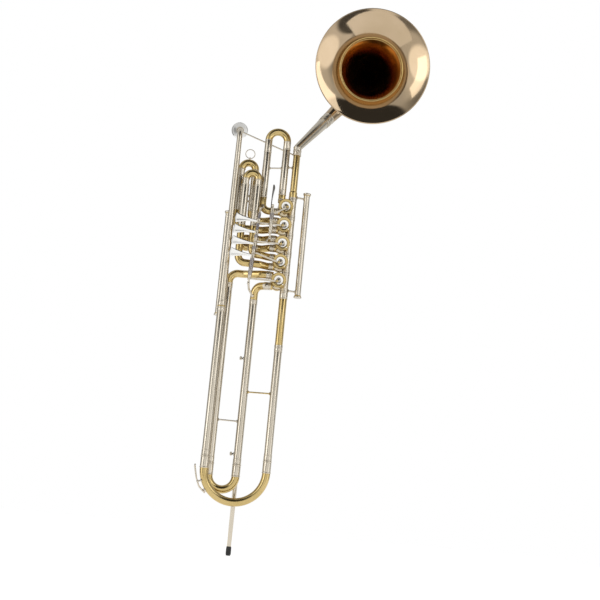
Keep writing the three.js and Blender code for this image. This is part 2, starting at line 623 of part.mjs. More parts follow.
// A long U that closes two slide tubes from below, with a ferrule on each leg.
function lowerSlide(leftX, rightX, y, tubeEnd) {
  const radius = (rightX - leftX) / 2;
  const bowZ = tubeEnd - GAP - FERRULE_LENGTH;
  const crown = bowZ - radius;
  const top = tubeEnd + MAIN_LEG_LENGTH;
  const corners = [v3(leftX, y, top), v3(leftX, y, crown), v3(rightX, y, crown), v3(rightX, y, top)];
  const path = route(corners, radius, 0.26);
  const total = lengthOf(path);
  const leg = MAIN_LEG_LENGTH + GAP;
  const half = [[0, MAIN_LEG_R], [leg, MAIN_LEG_R], [leg, BAND_R], [leg + BAND_LENGTH, BAND_R],
    [leg + BAND_LENGTH, FERRULE_R], [leg + FERRULE_LENGTH, FERRULE_R],
    [leg + FERRULE_LENGTH, BOW_TUBE_R]];
  const outer = [...half, ...half.map(([s, r]) => [total - s, r]).reverse()];
  return { path, bowZ, radius, geometry: pipe(path, outer, MAIN_BORE_R, MAIN_SIDES) };
}

const mainU = lowerSlide(LEFT_X, RIGHT_X, 0, OUTER_TUBE_END_Z);
const fourthU = lowerSlide(FOURTH_LEFT_X, FOURTH_RIGHT_X, FOURTH_Y, FOURTH_TUBE_END_Z);

// ---------- water key on the main bow ----------

const bowPoint = (r, degrees, y = 0) => {
  const a = THREE.MathUtils.degToRad(degrees);
  return v3(-Math.cos(a) * r, y, mainU.bowZ - Math.sin(a) * r);
};
const bowOutside = mainU.radius + BOW_TUBE_R;
const keyPivot = bowPoint(bowOutside + KEY_PIVOT_HEIGHT, KEY_PIVOT_ANGLE);

const keyAxle = (halfWidth, r, sides) =>
  bar(keyPivot.clone().setY(-halfWidth), keyPivot.clone().setY(halfWidth), r, sides);

function keySeat() {
  const nipple = bar(bowPoint(mainU.radius, KEY_CAP_ANGLE), bowPoint(bowOutside + 2, KEY_CAP_ANGLE), 4);
  const posts = [-KEY_POST_Y, KEY_POST_Y].map((y) => bar(bowPoint(mainU.radius, KEY_PIVOT_ANGLE, y),
    bowPoint(bowOutside + KEY_PIVOT_HEIGHT + 3, KEY_PIVOT_ANGLE, y), 1.8, PIN_SIDES));
  const axle = keyAxle(KEY_POST_Y, 1.2, PIN_SIDES);
  return cut(join(nipple, ...posts, axle), pipe(mainU.path, MAIN_BORE_R, 0, MAIN_SIDES));
}

function waterKey() {
  const cap = bar(bowPoint(bowOutside + 2 + GAP, KEY_CAP_ANGLE),
    bowPoint(bowOutside + 5.5, KEY_CAP_ANGLE), 5.2, 14);
  const sleeve = keyAxle(2.6, 3);
  const arm = pipe(route([bowPoint(bowOutside + 5, KEY_CAP_ANGLE),
    bowPoint(bowOutside + 8.4, KEY_CAP_ANGLE - 10), bowPoint(bowOutside + 8.6, KEY_PIVOT_ANGLE - 6),
    bowPoint(bowOutside + 11.5, KEY_TOUCH_ANGLE)], 14), 1.7, 0, PIN_SIDES);
  const touch = bar(bowPoint(bowOutside + 9.5, KEY_TOUCH_ANGLE),
    bowPoint(bowOutside + 13, KEY_TOUCH_ANGLE), 4.2);
  return cut(join(cap, sleeve, arm, touch), keyAxle(9, 1.6, PIN_SIDES));
}

add("main_slide", solid(mainU.geometry).add(keySeat()), "yellow_brass");
add("fourth_slide", fourthU.geometry, "yellow_brass");
add("water_key", waterKey(), "nickel_silver");

// ---------- bell branch, stem and bell ----------

const branchBottomZ = 2 * VALVE_PITCH + KNUCKLE_HALF_HEIGHT + GAP;
const branchPath = straight(v3(BRANCH_X, 0, branchBottomZ), v3(BRANCH_X, 0, BRANCH_TOP_Z));

function bellBranch() {
  const end = lengthOf(branchPath);
  const outer = [[0, MAIN_TUBE_R + 0.5], [20, MAIN_TUBE_R + 0.5], [20, BRANCH_R],
    [end - COLLAR_LENGTH, BRANCH_R], [end - COLLAR_LENGTH, COLLAR_R], [end, COLLAR_R]];
  const inner = [[0, BRANCH_R - WALL], [end, BRANCH_R - WALL]];
  const braceZ = FIFTH_SLIDE.braceZ + 8;
  const link = brace([v3(BRANCH_X, 0, braceZ), v3(FIFTH_SLIDE.rightX, 0, braceZ)],
    [around(fifth.runs[1].path, VALVE_TUBE_R),
      bar(v3(BRANCH_X, 0, braceZ - 9), v3(BRANCH_X, 0, braceZ + 9), BRANCH_R - WALL)]);
  return solid(pipe(branchPath, outer, inner)).add(link);
}

const stemFoot = v3(BRANCH_X, 0, BRANCH_TOP_Z + 8);
const bellPath = route([stemFoot, BELL_CORNER, BELL_MOUTH], BELL_BEND_R, 0.26);
const bellLength = lengthOf(bellPath);

// Inner radius of the bell and its stem at a distance behind the rim.
function flare(behind) {
  const horn = BELL_RIM_R * Math.pow(BELL_FLARE_LENGTH / (behind + BELL_FLARE_LENGTH), BELL_FLARE_POWER);
  return horn - (BELL_TAIL_TRIM * behind) / bellLength;
}

function bellStem() {
  const tail = stretch(bellPath, 0, STEM_LENGTH);
  const foot = v3(BRANCH_X, 0, BRANCH_TOP_Z - TENON_LENGTH);
  const path = route([foot, stemFoot, tail[tail.length - 1].p], 8, 0.25);
  const end = lengthOf(path);
  const rise = end - STEM_LENGTH;
  const flareR = (s) => flare(bellLength - Math.max(0, s - rise));
  const shoulder = TENON_LENGTH + GAP;
  const outer = [[0, TENON_R], [shoulder, TENON_R], [shoulder, COLLAR_R - 0.4],
    [shoulder + 6, COLLAR_R - 0.4], [shoulder + 9, flareR(rise) + WALL], [end, flareR(end) + WALL]];
  const inner = [[0, TENON_R - 0.8], [shoulder, TENON_R - 0.8], [rise, flareR(rise) - 0.3],
    [end, flareR(end) - 0.3]];
  return pipe(path, outer, inner, MAIN_SIDES);
}

function bell() {
  const path = stretch(bellPath, STEM_LENGTH + GAP, bellLength);
  const fine = [];
  const last = path[path.length - 1];
  const before = path[path.length - 2];
  const flareSteps = 8;
  for (let k = 1; k < flareSteps; k++) {
    const share = 1 - Math.pow(1 - k / flareSteps, 1.7);
    fine.push({ p: before.p.clone().lerp(last.p, share), t: last.t.clone(),
      s: before.s + (last.s - before.s) * share });
  }
  const stations = [...path.slice(0, -1), ...fine, last];
  const end = last.s;
  const inner = stations.map((q) => [q.s, flare(end - q.s)]);
  const outer = stations.slice(0, -1).map((q) => [q.s, flare(end - q.s) + BELL_WALL]);
  const sleeve = [[0, outer[0][1] + 0.9], [8, outer[0][1] + 0.9], [8, outer[0][1] + 0.2]];
  const rim = [[end - 2 * BEAD_R, BELL_RIM_R - 3], [end - 1.5 * BEAD_R, BELL_RIM_R + 0.4 * BEAD_R],
    [end - 0.5 * BEAD_R, BELL_RIM_R + BEAD_R], [end, BELL_RIM_R + 0.6 * BEAD_R]];
  const body = outer.slice(1).filter(([s]) => s < end - 2 * BEAD_R - 1);
  return pipe(stations, [...sleeve, ...body, ...rim], inner, BELL_SIDES);
}

// A small thumbscrew that locks the bell stem in its collar.
function lockScrew() {
  const seat = v3(BRANCH_X, -COLLAR_R - GAP, BRANCH_TOP_Z - COLLAR_LENGTH / 2);
  const neck = seat.clone().add(v3(0, -7, 0));
  const wing = new THREE.BoxGeometry(15, 1.8, 6).rotateY(LOCK_WING_ANGLE);
  return join(bar(seat, neck, 2.4), wing.translate(neck.x, neck.y, neck.z));
}

add("bell_branch", bellBranch(), "yellow_brass");
add("bell_stem", bellStem(), "nickel_silver");
add("bell", bell(), "gold_brass");
add("bell_lock_screw", lockScrew(), "nickel_silver");

// ---------- mouthpiece ----------

function mouthpiece() {
  const L = MOUTHPIECE_LENGTH;
  const R = MOUTHPIECE_RIM_R;
  const C = MOUTHPIECE_CUP_R;
  const profile = [[4.6, 0], [5.1, SHANK_IN_RECEIVER], [6.2, L - 45], [8.6, L - 36], [13.5, L - 28],
    [17.2, L - 20], [18, L - 8], [R, L - 5.5], [R, L - 2], [R - 1.6, L - 0.4], [R - 3.6, L],
    [C + 0.8, L - 1.4], [C, L - 3.5], [C - 1, L - 14], [C - 4.5, L - 26], [3.6, L - 33],
    [3.4, L - 40], [3.9, 0], [4.6, 0]];
  return new THREE.LatheGeometry(profile.map(([r, y]) => new THREE.Vector2(r, y)), 18);
}

const mouth = add("mouthpiece", mouthpiece(), "silver_plate");
mouth.position.copy(receiverEnd).addScaledVector(mouthAxis, -SHANK_IN_RECEIVER);
mouth.quaternion.setFromUnitVectors(v3(0, 1, 0), mouthAxis);

// ---------- braces and grips ----------

const leadBraceLeft = leadCorner.clone().add(v3(0, LEAD_BRACE_Y, 3));
const leadBraceRight = v3(BRANCH_X - 10, LEAD_BRACE_Y, BRANCH_TOP_Z - 6);
add("leadpipe_brace", brace([leadBraceLeft, leadBraceRight, v3(BRANCH_X, 2, BRANCH_TOP_Z - 9)],
  [around(leadPath, RECEIVER_R, SIDES), around(branchPath, COLLAR_R, SIDES)], 1.7), "nickel_silver");

// Heights of a hand grip's two braces.
const gripHeights = (centre) => [-1, 1].map((side) =>
  centre.z + side * (GRIP_LENGTH / 2 - GRIP_BRACE_INSET));

// A hand grip: a capped tube that stands off the tubes on two short braces.
function grip(name, centre, towards, neighbourRs) {
  const half = GRIP_LENGTH / 2;
  const shape = [[0, GRIP_CAP_R], [GRIP_CAP_LENGTH, GRIP_CAP_R], [GRIP_CAP_LENGTH, GRIP_R],
    [GRIP_LENGTH - GRIP_CAP_LENGTH, GRIP_R], [GRIP_LENGTH - GRIP_CAP_LENGTH, GRIP_CAP_R],
    [GRIP_LENGTH, GRIP_CAP_R]];
  const tube = pipe(straight(v3(centre.x, centre.y, centre.z - half),
    v3(centre.x, centre.y, centre.z + half)), shape, 0, MAIN_SIDES);
  const stand = gripHeights(centre).map((z, k) => brace([v3(centre.x, centre.y, z), v3(towards, 0, z)],
    [around(straight(v3(towards, 0, z - 12), v3(towards, 0, z + 12)), neighbourRs[k])], 2.3));
  add(name, stand.reduce((a, b) => a.add(b), solid(tube)), "nickel_silver");
}
grip("grip_right", RIGHT_GRIP, RIGHT_X, [MAIN_TUBE_R + 0.8, MAIN_TUBE_R + 0.8]);
grip("grip_left", LEFT_GRIP, LEFT_X, [MAIN_TUBE_R + 0.3, leadR(gripHeights(LEFT_GRIP)[1])]);

// ---------- endpin ----------

function clamp(z) {
  const block = new THREE.BoxGeometry(13, ENDPIN_R + 10, CLAMP_HEIGHT);
  block.translate(ENDPIN_X, ENDPIN_Y - 2.5, z);
  const boss = bar(v3(ENDPIN_X, ENDPIN_Y, z), v3(ENDPIN_X - CLAMP_BOSS_REACH, ENDPIN_Y, z), 4.2);
  return cut(join(block, boss), vertical(FOURTH_RIGHT_X, FOURTH_Y, MAIN_TUBE_R),
    bar(v3(ENDPIN_X, ENDPIN_Y, z - 20), v3(ENDPIN_X, ENDPIN_Y, z + 20), ENDPIN_R + SLIP, ROD_SIDES),
    bar(v3(ENDPIN_X, ENDPIN_Y, z), v3(ENDPIN_X - 20, ENDPIN_Y, z), CLAMP_SCREW_R + 0.5, PIN_SIDES));
}

function clampScrew(z) {
  const start = ENDPIN_X - ENDPIN_R - GAP;
  return join(bar(v3(start, ENDPIN_Y, z), v3(start - 11, ENDPIN_Y, z), CLAMP_SCREW_R, PIN_SIDES),
    bar(v3(start - 9, ENDPIN_Y, z), v3(start - 14.5, ENDPIN_Y, z), 4.4, 14));
}

["upper", "lower"].forEach((place, i) => {
  add(`endpin_clamp_${place}`, clamp(CLAMP_Z[i]), "nickel_silver");
  add(`clamp_screw_${place}`, clampScrew(CLAMP_Z[i]), "nickel_silver");
});
const tipTopZ = ENDPIN_TIP_Z + ENDPIN_TIP_LENGTH;
add("endpin_rod", bar(v3(ENDPIN_X, ENDPIN_Y, tipTopZ + GAP),
  v3(ENDPIN_X, ENDPIN_Y, ENDPIN_TOP_Z), ENDPIN_R, ROD_SIDES), "nickel_silver");
const tipShape = [[0, ENDPIN_TIP_R - 1], [3, ENDPIN_TIP_R], [ENDPIN_TIP_LENGTH, ENDPIN_TIP_R]];
add("endpin_tip", pipe(straight(v3(ENDPIN_X, ENDPIN_Y, ENDPIN_TIP_Z),
  v3(ENDPIN_X, ENDPIN_Y, tipTopZ)), tipShape, 0, ROD_SIDES), "rubber");

// ---------- levers, hinges and links ----------

const hingeTiltAngle = Math.atan(HINGE_TILT);
const hingeX = (z) => HINGE_TOP.x - (HINGE_TOP.z - z) * HINGE_TILT;
const armFrontY = CASING_FRONT_Y - GAP - STOP_ARM_THICKNESS;
const linkY = armFrontY - 1.1 - LINK_THICKNESS / 2;

function hinge() {
  const top = HINGE_TOP.clone();
  const bottomZ = HINGE_TOP.z - HINGE_ROD_LENGTH;
  const bottom = v3(hingeX(bottomZ), HINGE_Y, bottomZ);
  const rod = bar(top, bottom, HINGE_ROD_R, PIN_SIDES);
  const upperPost = brace([top, v3(2, -22, top.z + 12), v3(0, 0, top.z + 24)],
    [around(fifth.runs[0].path, VALVE_TUBE_R + 0.8, SIDES)], 2.4, 10);
  const lowerPost = brace([bottom, v3(-12, -10, bottomZ - 8), v3(FOURTH_RIGHT_X, FOURTH_Y, bottomZ - 22)],
    [around(fourthRight.path, MAIN_TUBE_R + 0.8)], 2.4, 12);
  const knobs = [top, bottom].map((p) => new THREE.SphereGeometry(3.4, 8, 5).translate(p.x, p.y, p.z));
  return join(rod, ...knobs).add(upperPost).add(lowerPost);
}

// A finger paddle's outline, from the sleeve out to the wide touch end.
function paddleShape(length, height) {
  const shape = new THREE.Shape();
  const neck = 2.6;
  shape.moveTo(0, -neck);
  shape.lineTo(0, neck);
  shape.bezierCurveTo(-length * 0.35, neck, -length * 0.6, height * 0.3, -length, height / 2);
  shape.quadraticCurveTo(-length - 3, 0, -length + 1, -height / 2);
  shape.bezierCurveTo(-length * 0.6, -height * 0.3, -length * 0.35, -neck, 0, -neck);
  return shape;
}

// The crank on a lever's sleeve, with the pin that carries the link at height z.
function crank(z, reach) {
  const armZ = z - (LINK_THICKNESS + CRANK_THICKNESS) / 2 - GAP;
  const half = CRANK_THICKNESS / 2;
  const arm = new THREE.BoxGeometry(5, reach, CRANK_THICKNESS).translate(0, reach / 2, armZ);
  const end = bar(v3(0, reach, armZ - half), v3(0, reach, armZ + half), 3, PIN_SIDES);
  const pin = bar(v3(0, reach, armZ), v3(0, reach, z + LINK_THICKNESS / 2 + 1), CRANK_PIN_R, PIN_SIDES);
  return [arm, end, pin];
}

function sleeveCut(low, high) {
  return bar(v3(0, 0, low - 1), v3(0, 0, high + 1), HINGE_ROD_R + SLEEVE_CLEARANCE, PIN_SIDES);
}

// A finger lever in its own frame: the hinge is the Z axis and z is measured along it.
function lever(paddleZ, crankZ) {
  const low = Math.min(paddleZ - 4, crankZ - 5.6);
  const high = Math.max(paddleZ + 4, crankZ + 4);
  const paddle = new THREE.ExtrudeGeometry(paddleShape(PADDLE_LENGTH, PADDLE_HEIGHT),
    { depth: PADDLE_THICKNESS, bevelEnabled: false, curveSegments: 4 });
  paddle.rotateX(Math.PI / 2).translate(-2.6, PADDLE_THICKNESS / 2, paddleZ);
  const sleeve = bar(v3(0, 0, low), v3(0, 0, high), SLEEVE_R, PIN_SIDES);
  return cut(join(sleeve, paddle, ...crank(crankZ, CRANK_LENGTH)), sleeveCut(low, high));
}

// The height of a link on its stop arm, halfway between the ends of the pin's arc.
const pinDrop = (arm) => (arm * (1 + Math.SQRT1_2)) / 2;

// The link between a crank pin and a stop pin, with its own origin at the crank pin.
function link(run, drop) {
  const half = LINK_THICKNESS / 2;
  const near = bar(v3(0, 0, -half), v3(0, 0, half), LINK_EYE_R, PIN_SIDES);
  const far = bar(v3(run, -half, drop), v3(run, half, drop), LINK_EYE_R, PIN_SIDES);
  const shaftPath = route([v3(0, 0, 0), v3(LINK_STRAIGHT, 0, 0), v3(run, 0, drop)], 3);
  const shaft = pipe(shaftPath, LINK_ROD_R, 0, 6);
  return cut(join(near, far, shaft), bar(v3(0, 0, -5), v3(0, 0, 5), CRANK_PIN_R + GAP, PIN_SIDES),
    bar(v3(run, -5, drop), v3(run, 5, drop), STOP_PIN_R + EYE_CLEARANCE, PIN_SIDES));
}

add("lever_hinge_rod", hinge(), "nickel_silver");
const hingeFoot = v3(hingeX(0), HINGE_Y, 0);
valves.slice(0, 4).forEach((valve, i) => {
  const swing = new THREE.Group();
  swing.position.copy(hingeFoot);
  swing.rotation.y = hingeTiltAngle;
  root.add(swing);
  const pinX = VALVE_X + Math.cos(valve.angle) * valve.arm;
  const pinZ = valve.z - pinDrop(valve.arm) + HINGE_SINK;
  const crankZ = CRANK_Z[i];
  const along = crankZ / Math.cos(hingeTiltAngle);
  add(`lever_${valve.n}`, lever(PADDLE_Z[i], along), "nickel_silver", swing);
  const joint = new THREE.Group();
  joint.position.set(hingeX(crankZ), HINGE_Y + CRANK_LENGTH, crankZ);
  root.add(joint);
  const reach = linkY - joint.position.y;
  const shape = link(pinX - joint.position.x, pinZ - crankZ);
  add(`link_${valve.n}`, shape.translate([0, reach, 0]), "nickel_silver", joint);
});

// The thumb lever for the fifth valve, on its own short post.
function thumbPost() {
  const half = THUMB_ROD_LENGTH / 2;
  const rod = bar(v3(0, 0, -half), v3(0, 0, half), HINGE_ROD_R, PIN_SIDES);
  const knobs = [-half, half].map((z) => new THREE.SphereGeometry(3.2, 8, 5).translate(0, 0, z));
  const post = brace([v3(0, 0, -half), v3(-2, 16, -half), v3(-4, -HINGE_Y, -half + 4)],
    [around(secondRoute, VALVE_TUBE_R + 0.8, SIDES)
      .translate(-THUMB_HINGE.x, -THUMB_HINGE.y, -THUMB_HINGE.z)], 2.3, 8);
  return join(rod, ...knobs).add(post);
}
const secondRoute = route(secondCorners(PORT_OFFSET_Z), SECOND_BEND_R);

function thumbLever(crankZ) {
  const high = THUMB_ROD_LENGTH / 2 - 5;
  const low = -THUMB_ROD_LENGTH / 2 + 9;
  const blade = new THREE.Shape();
  blade.moveTo(0, high - 24);
  blade.bezierCurveTo(10, high - 12, 22, high + 4, 38, high + 58);
  blade.quadraticCurveTo(31, high + 70, 24, high + 60);
  blade.bezierCurveTo(16, high + 22, 8, high + 6, 0, high - 6);
  const plate = new THREE.ExtrudeGeometry(blade, { depth: 2, bevelEnabled: false, curveSegments: 6 });
  plate.rotateX(Math.PI / 2).rotateZ(Math.PI / 2).translate(1, 0, 0);
  const position = plate.getAttribute("position");
  for (let i = 0; i < position.count; i++) {
    const y = position.getY(i);
    position.setX(i, position.getX(i) + BLADE_CURL * y * (y - BLADE_REACH));
  }
  const sleeve = bar(v3(0, 0, low), v3(0, 0, high), SLEEVE_R, PIN_SIDES);
  return cut(join(sleeve, plate, ...crank(crankZ, CRANK_LENGTH)), sleeveCut(low, high));
}

const thumb = new THREE.Group();
thumb.position.copy(THUMB_HINGE);
root.add(thumb);
add("thumb_lever_post", thumbPost(), "nickel_silver", thumb);
const thumbCrankZ = THUMB_ROD_LENGTH / 2 - 10;
add("thumb_lever", thumbLever(thumbCrankZ), "blued_steel", thumb);
const thumbPinX = VALVE_X + Math.cos(fifthValve.angle) * fifthValve.arm;
const thumbPinZ = fifthValve.z - pinDrop(fifthValve.arm);
const thumbJoint = new THREE.Group();
thumbJoint.position.set(THUMB_HINGE.x, HINGE_Y + CRANK_LENGTH, THUMB_HINGE.z + thumbCrankZ);
root.add(thumbJoint);
add("link_5", link(thumbPinX - THUMB_HINGE.x, thumbPinZ - thumbJoint.position.z)
  .translate([0, linkY - thumbJoint.position.y, 0]), "nickel_silver", thumbJoint);

export default root;
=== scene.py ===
"""The looks of a five-valve cimbasso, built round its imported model.

Shapes are worked out in millimetres and become metres when a piece is made. The camera, the floor
and the lights are in metres. Tubes are swept surfaces: a profile of (distance along, radius) pairs
carried along a route of straight lines and arcs. Plates and blocks are extruded outlines.
"""

import json
import math

import bmesh
import bpy
from mathutils import Matrix, Quaternion, Vector


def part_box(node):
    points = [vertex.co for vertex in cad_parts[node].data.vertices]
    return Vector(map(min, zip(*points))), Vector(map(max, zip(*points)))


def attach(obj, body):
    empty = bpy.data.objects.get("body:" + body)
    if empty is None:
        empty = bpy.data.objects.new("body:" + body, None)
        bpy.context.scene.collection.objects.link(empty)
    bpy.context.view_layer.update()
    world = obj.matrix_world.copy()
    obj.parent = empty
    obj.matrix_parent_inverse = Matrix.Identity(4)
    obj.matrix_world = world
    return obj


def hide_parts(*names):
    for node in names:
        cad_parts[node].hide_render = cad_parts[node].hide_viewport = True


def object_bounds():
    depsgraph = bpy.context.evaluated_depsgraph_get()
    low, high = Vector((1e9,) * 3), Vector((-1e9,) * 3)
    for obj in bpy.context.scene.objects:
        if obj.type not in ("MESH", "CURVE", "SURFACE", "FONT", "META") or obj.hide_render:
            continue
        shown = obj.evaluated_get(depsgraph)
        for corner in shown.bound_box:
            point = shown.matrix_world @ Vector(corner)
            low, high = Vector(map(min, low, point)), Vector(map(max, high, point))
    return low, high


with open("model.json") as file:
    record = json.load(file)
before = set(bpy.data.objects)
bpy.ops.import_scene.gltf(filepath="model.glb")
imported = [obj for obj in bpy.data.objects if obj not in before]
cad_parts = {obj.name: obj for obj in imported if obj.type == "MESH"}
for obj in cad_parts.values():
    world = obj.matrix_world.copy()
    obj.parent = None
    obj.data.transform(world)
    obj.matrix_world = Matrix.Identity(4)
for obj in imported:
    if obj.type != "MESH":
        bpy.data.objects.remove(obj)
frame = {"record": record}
CAD_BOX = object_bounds()
MM = 0.001

BODY_OF = {}
for body_name, body_nodes in frame["record"]["behaviour"]["bodies"].items():
    for node_name in body_nodes:
        BODY_OF[node_name] = body_name


def vec(x, y, z):
    """A point in millimetres, or a direction."""
    return Vector((x, y, z))


def box(node):
    """The low and high corners of a node's box, in millimetres."""
    low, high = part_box(node)
    return low / MM, high / MM


def middle(node):
    """The centre of a node's box."""
    low, high = box(node)
    return (low + high) / 2


def upright(x, y, low, high):
    """A straight path up from one height to another."""
    return line(vec(x, y, low), vec(x, y, high))


# ---------- sizes shared with the model, in millimetres ----------

WALL = 0.5
MAIN_R = 9.0
MAIN_LEG_R = 8.1
MAIN_BORE_R = 7.6
VALVE_R = 8.5
VALVE_LEG_R = 7.6
VALVE_BORE_R = 7.1
BOW_R = 9.3
FERRULE_LENGTH = 28
CASING_R = 17.2
BRANCH_R = 8.3
BRACE_R = 1.7
PORT_X = 33.7

LEFT_X = middle("main_outer_tube_left").x
RIGHT_X = middle("main_outer_tube_right").x
LOOP_Y = middle("endpin_rod").y - 16
LOOP_LEFT_X = -58
LOOP_RIGHT_X = 3
CAPS = {n: middle(f"valve_cap_{n}") for n in range(1, 6)}
VALVES = {n: vec(cap.x, 0, cap.z) for n, cap in CAPS.items()}
FRONT, BACK, UP = vec(0, -1, 0), vec(0, 1, 0), vec(0, 0, 1)


# ---------- camera, floor and light, in metres ----------

LEAN_BACK = math.radians(10.0)
TURN = math.radians(5.0)
LEAN_RIGHT = math.radians(5.4)
CAMERA_DISTANCE = 2.4
CAMERA_ASIDE = -0.0965
CAMERA_ABOVE = 0.1347
LENS_MM = 61.8
SENSOR_MM = 36


def add_camera():
    """A camera that sees the upright instrument as it looks when it leans in its stand."""
    swap_axes = Matrix(((1, 0, 0), (0, 0, 1), (0, -1, 0)))
    tilt = Matrix.Rotation(-LEAN_RIGHT, 3, "Z") @ Matrix.Rotation(-LEAN_BACK, 3, "X")
    to_camera = tilt @ Matrix.Rotation(TURN, 3, "Y") @ swap_axes
    origin_seen = Vector((CAMERA_ASIDE, CAMERA_ABOVE, -CAMERA_DISTANCE))
    camera = bpy.data.objects.new("camera", bpy.data.cameras.new("camera"))
    camera.data.lens = LENS_MM
    camera.data.sensor_width = SENSOR_MM
    camera.data.clip_end = 60
    turn_back = to_camera.transposed()
    camera.matrix_world = Matrix.Translation(-(turn_back @ origin_seen)) @ turn_back.to_4x4()
    bpy.context.scene.collection.objects.link(camera)
    bpy.context.scene.camera = camera


def area_light(name, place, target, size, power, colour=(1, 1, 1)):
    data = bpy.data.lights.new(name, "AREA")
    data.shape = "RECTANGLE"
    data.size, data.size_y = size
    data.energy = power
    data.color = colour
    light = bpy.data.objects.new(name, data)
    light.location = place
    light.rotation_mode = "QUATERNION"
    light.rotation_quaternion = (Vector(target) - Vector(place)).to_track_quat("-Z", "Y")
    bpy.context.scene.collection.objects.link(light)


FLOOR_Z = CAD_BOX[0].z
FLOOR_SIZE = 2.4


def add_floor():
    mesh = bpy.data.meshes.new("floor")
    half = FLOOR_SIZE / 2
    corners = [(-half, -half, FLOOR_Z), (half, -half, FLOOR_Z), (half, half, FLOOR_Z), (-half, half, FLOOR_Z)]
    mesh.from_pydata(corners, [], [(0, 1, 2, 3)])
    floor = bpy.data.objects.new("floor", mesh)
    bpy.context.scene.collection.objects.link(floor)
    paper = bpy.data.materials.new("floor_paper")
    paper.use_nodes = True
    shader = paper.node_tree.nodes["Principled BSDF"]
    shader.inputs["Base Color"].default_value = (0.9, 0.9, 0.9, 1)
    shader.inputs["Roughness"].default_value = 0.9
    shader.inputs["Emission Color"].default_value = (1, 1, 1, 1)
    shader.inputs["Emission Strength"].default_value = 0.55
    mesh.materials.append(paper)


# Brightness of the studio round the instrument: share of a full turn from behind it, clockwise
# seen from above, and level.
STUDIO = [(0.0, 0.85), (0.15, 0.75), (0.2, 0.75), (0.23, 0.3), (0.28, 0.3), (0.33, 0.8), (0.42, 0.8),
          (0.47, 0.98), (0.49, 1.04), (0.53, 1.04), (0.545, 0.95), (0.57, 0.24), (0.62, 0.3), (0.65, 0.95),
          (0.72, 1.0), (0.75, 0.4), (0.84, 0.28), (0.9, 0.6), (1.0, 0.85)]
# Single things in the room: direction, angular radius, width of the soft edge and level.
ROOM_PATCHES = [
    ((0.8, -0.35, -0.45), 18, 8, 0.9),
    ((-0.8, -0.35, -0.45), 18, 8, 0.8),
    ((0.05, -0.62, 0.78), 30, 4, 0.05),
    ((-0.87, -0.45, -0.12), 17, 6, 1.7),
    ((0.87, -0.45, -0.12), 15, 6, 1.5),
    ((0.45, -0.45, -0.78), 18, 6, 0.10),
]


def add_node(tree, kind, sockets, **settings):
    """A shader node whose sockets take constants or the outputs of other nodes."""
    node = tree.nodes.new("ShaderNode" + kind)
    for key, value in settings.items():
        setattr(node, key, value)
    connect(tree, node, sockets)
    return node


def connect(tree, node, sockets):
    for key, value in sockets.items():
        if isinstance(value, bpy.types.NodeSocket):
            tree.links.new(value, node.inputs[key])
        else:
            node.inputs[key].default_value = value


def ramp(tree, value, stops):
    """A colour that runs through (place, colour) stops as a value rises."""
    node = add_node(tree, "ValToRGB", {"Fac": value})
    steps = node.color_ramp.elements
    while len(steps) < len(stops):
        steps.new(0.5)
    for step, (place, colour) in zip(steps, stops):
        step.position = place
        step.color = (*colour, 1)
    return node.outputs["Color"]


def blend(tree, value, low, high, first, second):
    """Mixes from the first colour to the second as a value rises from low to high."""
    share = add_node(tree, "MapRange", {"From Min": low, "From Max": high, "Value": value},
                     interpolation_type="SMOOTHSTEP")
    mix = add_node(tree, "Mix", {"Factor": share.outputs[0], "A": first, "B": second}, data_type="RGBA")
    return mix.outputs["Result"]


def add_world():
    """A bright studio with darker stretches, so that polished tubes show streaks."""
    world = bpy.data.worlds.new("studio")
    bpy.context.scene.world = world
    world.use_nodes = True
    tree = world.node_tree
    tree.nodes.clear()
    towards = add_node(tree, "TexCoord", {}).outputs["Generated"]
    parts = add_node(tree, "SeparateXYZ", {0: towards}).outputs
    angle = add_node(tree, "Math", {0: parts["X"], 1: parts["Y"]}, operation="ARCTAN2")
    share = add_node(tree, "MapRange", {"From Min": -math.pi, "From Max": math.pi, "To Min": 0.5,
                                        "To Max": 1.5, "Value": angle.outputs[0]})
    turn = add_node(tree, "Math", {0: share.outputs[0]}, operation="FRACT").outputs[0]
    colour = ramp(tree, turn, [(place, (level, level, level * 0.99)) for place, level in STUDIO])
    colour = blend(tree, parts["Z"], 0.35, 0.75, colour, (0.62, 0.62, 0.61, 1))
    for direction, radius, edge, level in ROOM_PATCHES:
        near = add_node(tree, "VectorMath", {0: towards, 1: Vector(direction).normalized()},
                        operation="DOT_PRODUCT").outputs["Value"]
        rim, core = (math.cos(math.radians(a)) for a in (radius + edge, radius))
        colour = blend(tree, near, rim, core, colour, (level, level, level, 1))
    room = add_node(tree, "Background", {"Color": colour})
    plain = add_node(tree, "Background", {"Color": (1, 1, 1, 1)})
    seen = add_node(tree, "LightPath", {}).outputs["Is Camera Ray"]
    mix = add_node(tree, "MixShader", {"Fac": seen, 1: room.outputs[0], 2: plain.outputs[0]})
    add_node(tree, "OutputWorld", {"Surface": mix.outputs[0]})


# ---------- materials ----------

def new_material(name):
    material = bpy.data.materials.new(name)
    material.use_nodes = True
    tree = material.node_tree
    return material, tree, tree.nodes["Principled BSDF"]


def noise(tree, vector, **sockets):
    sockets = {key.capitalize(): value for key, value in sockets.items()}
    return add_node(tree, "TexNoise", {"Vector": vector, **sockets}).outputs["Fac"]


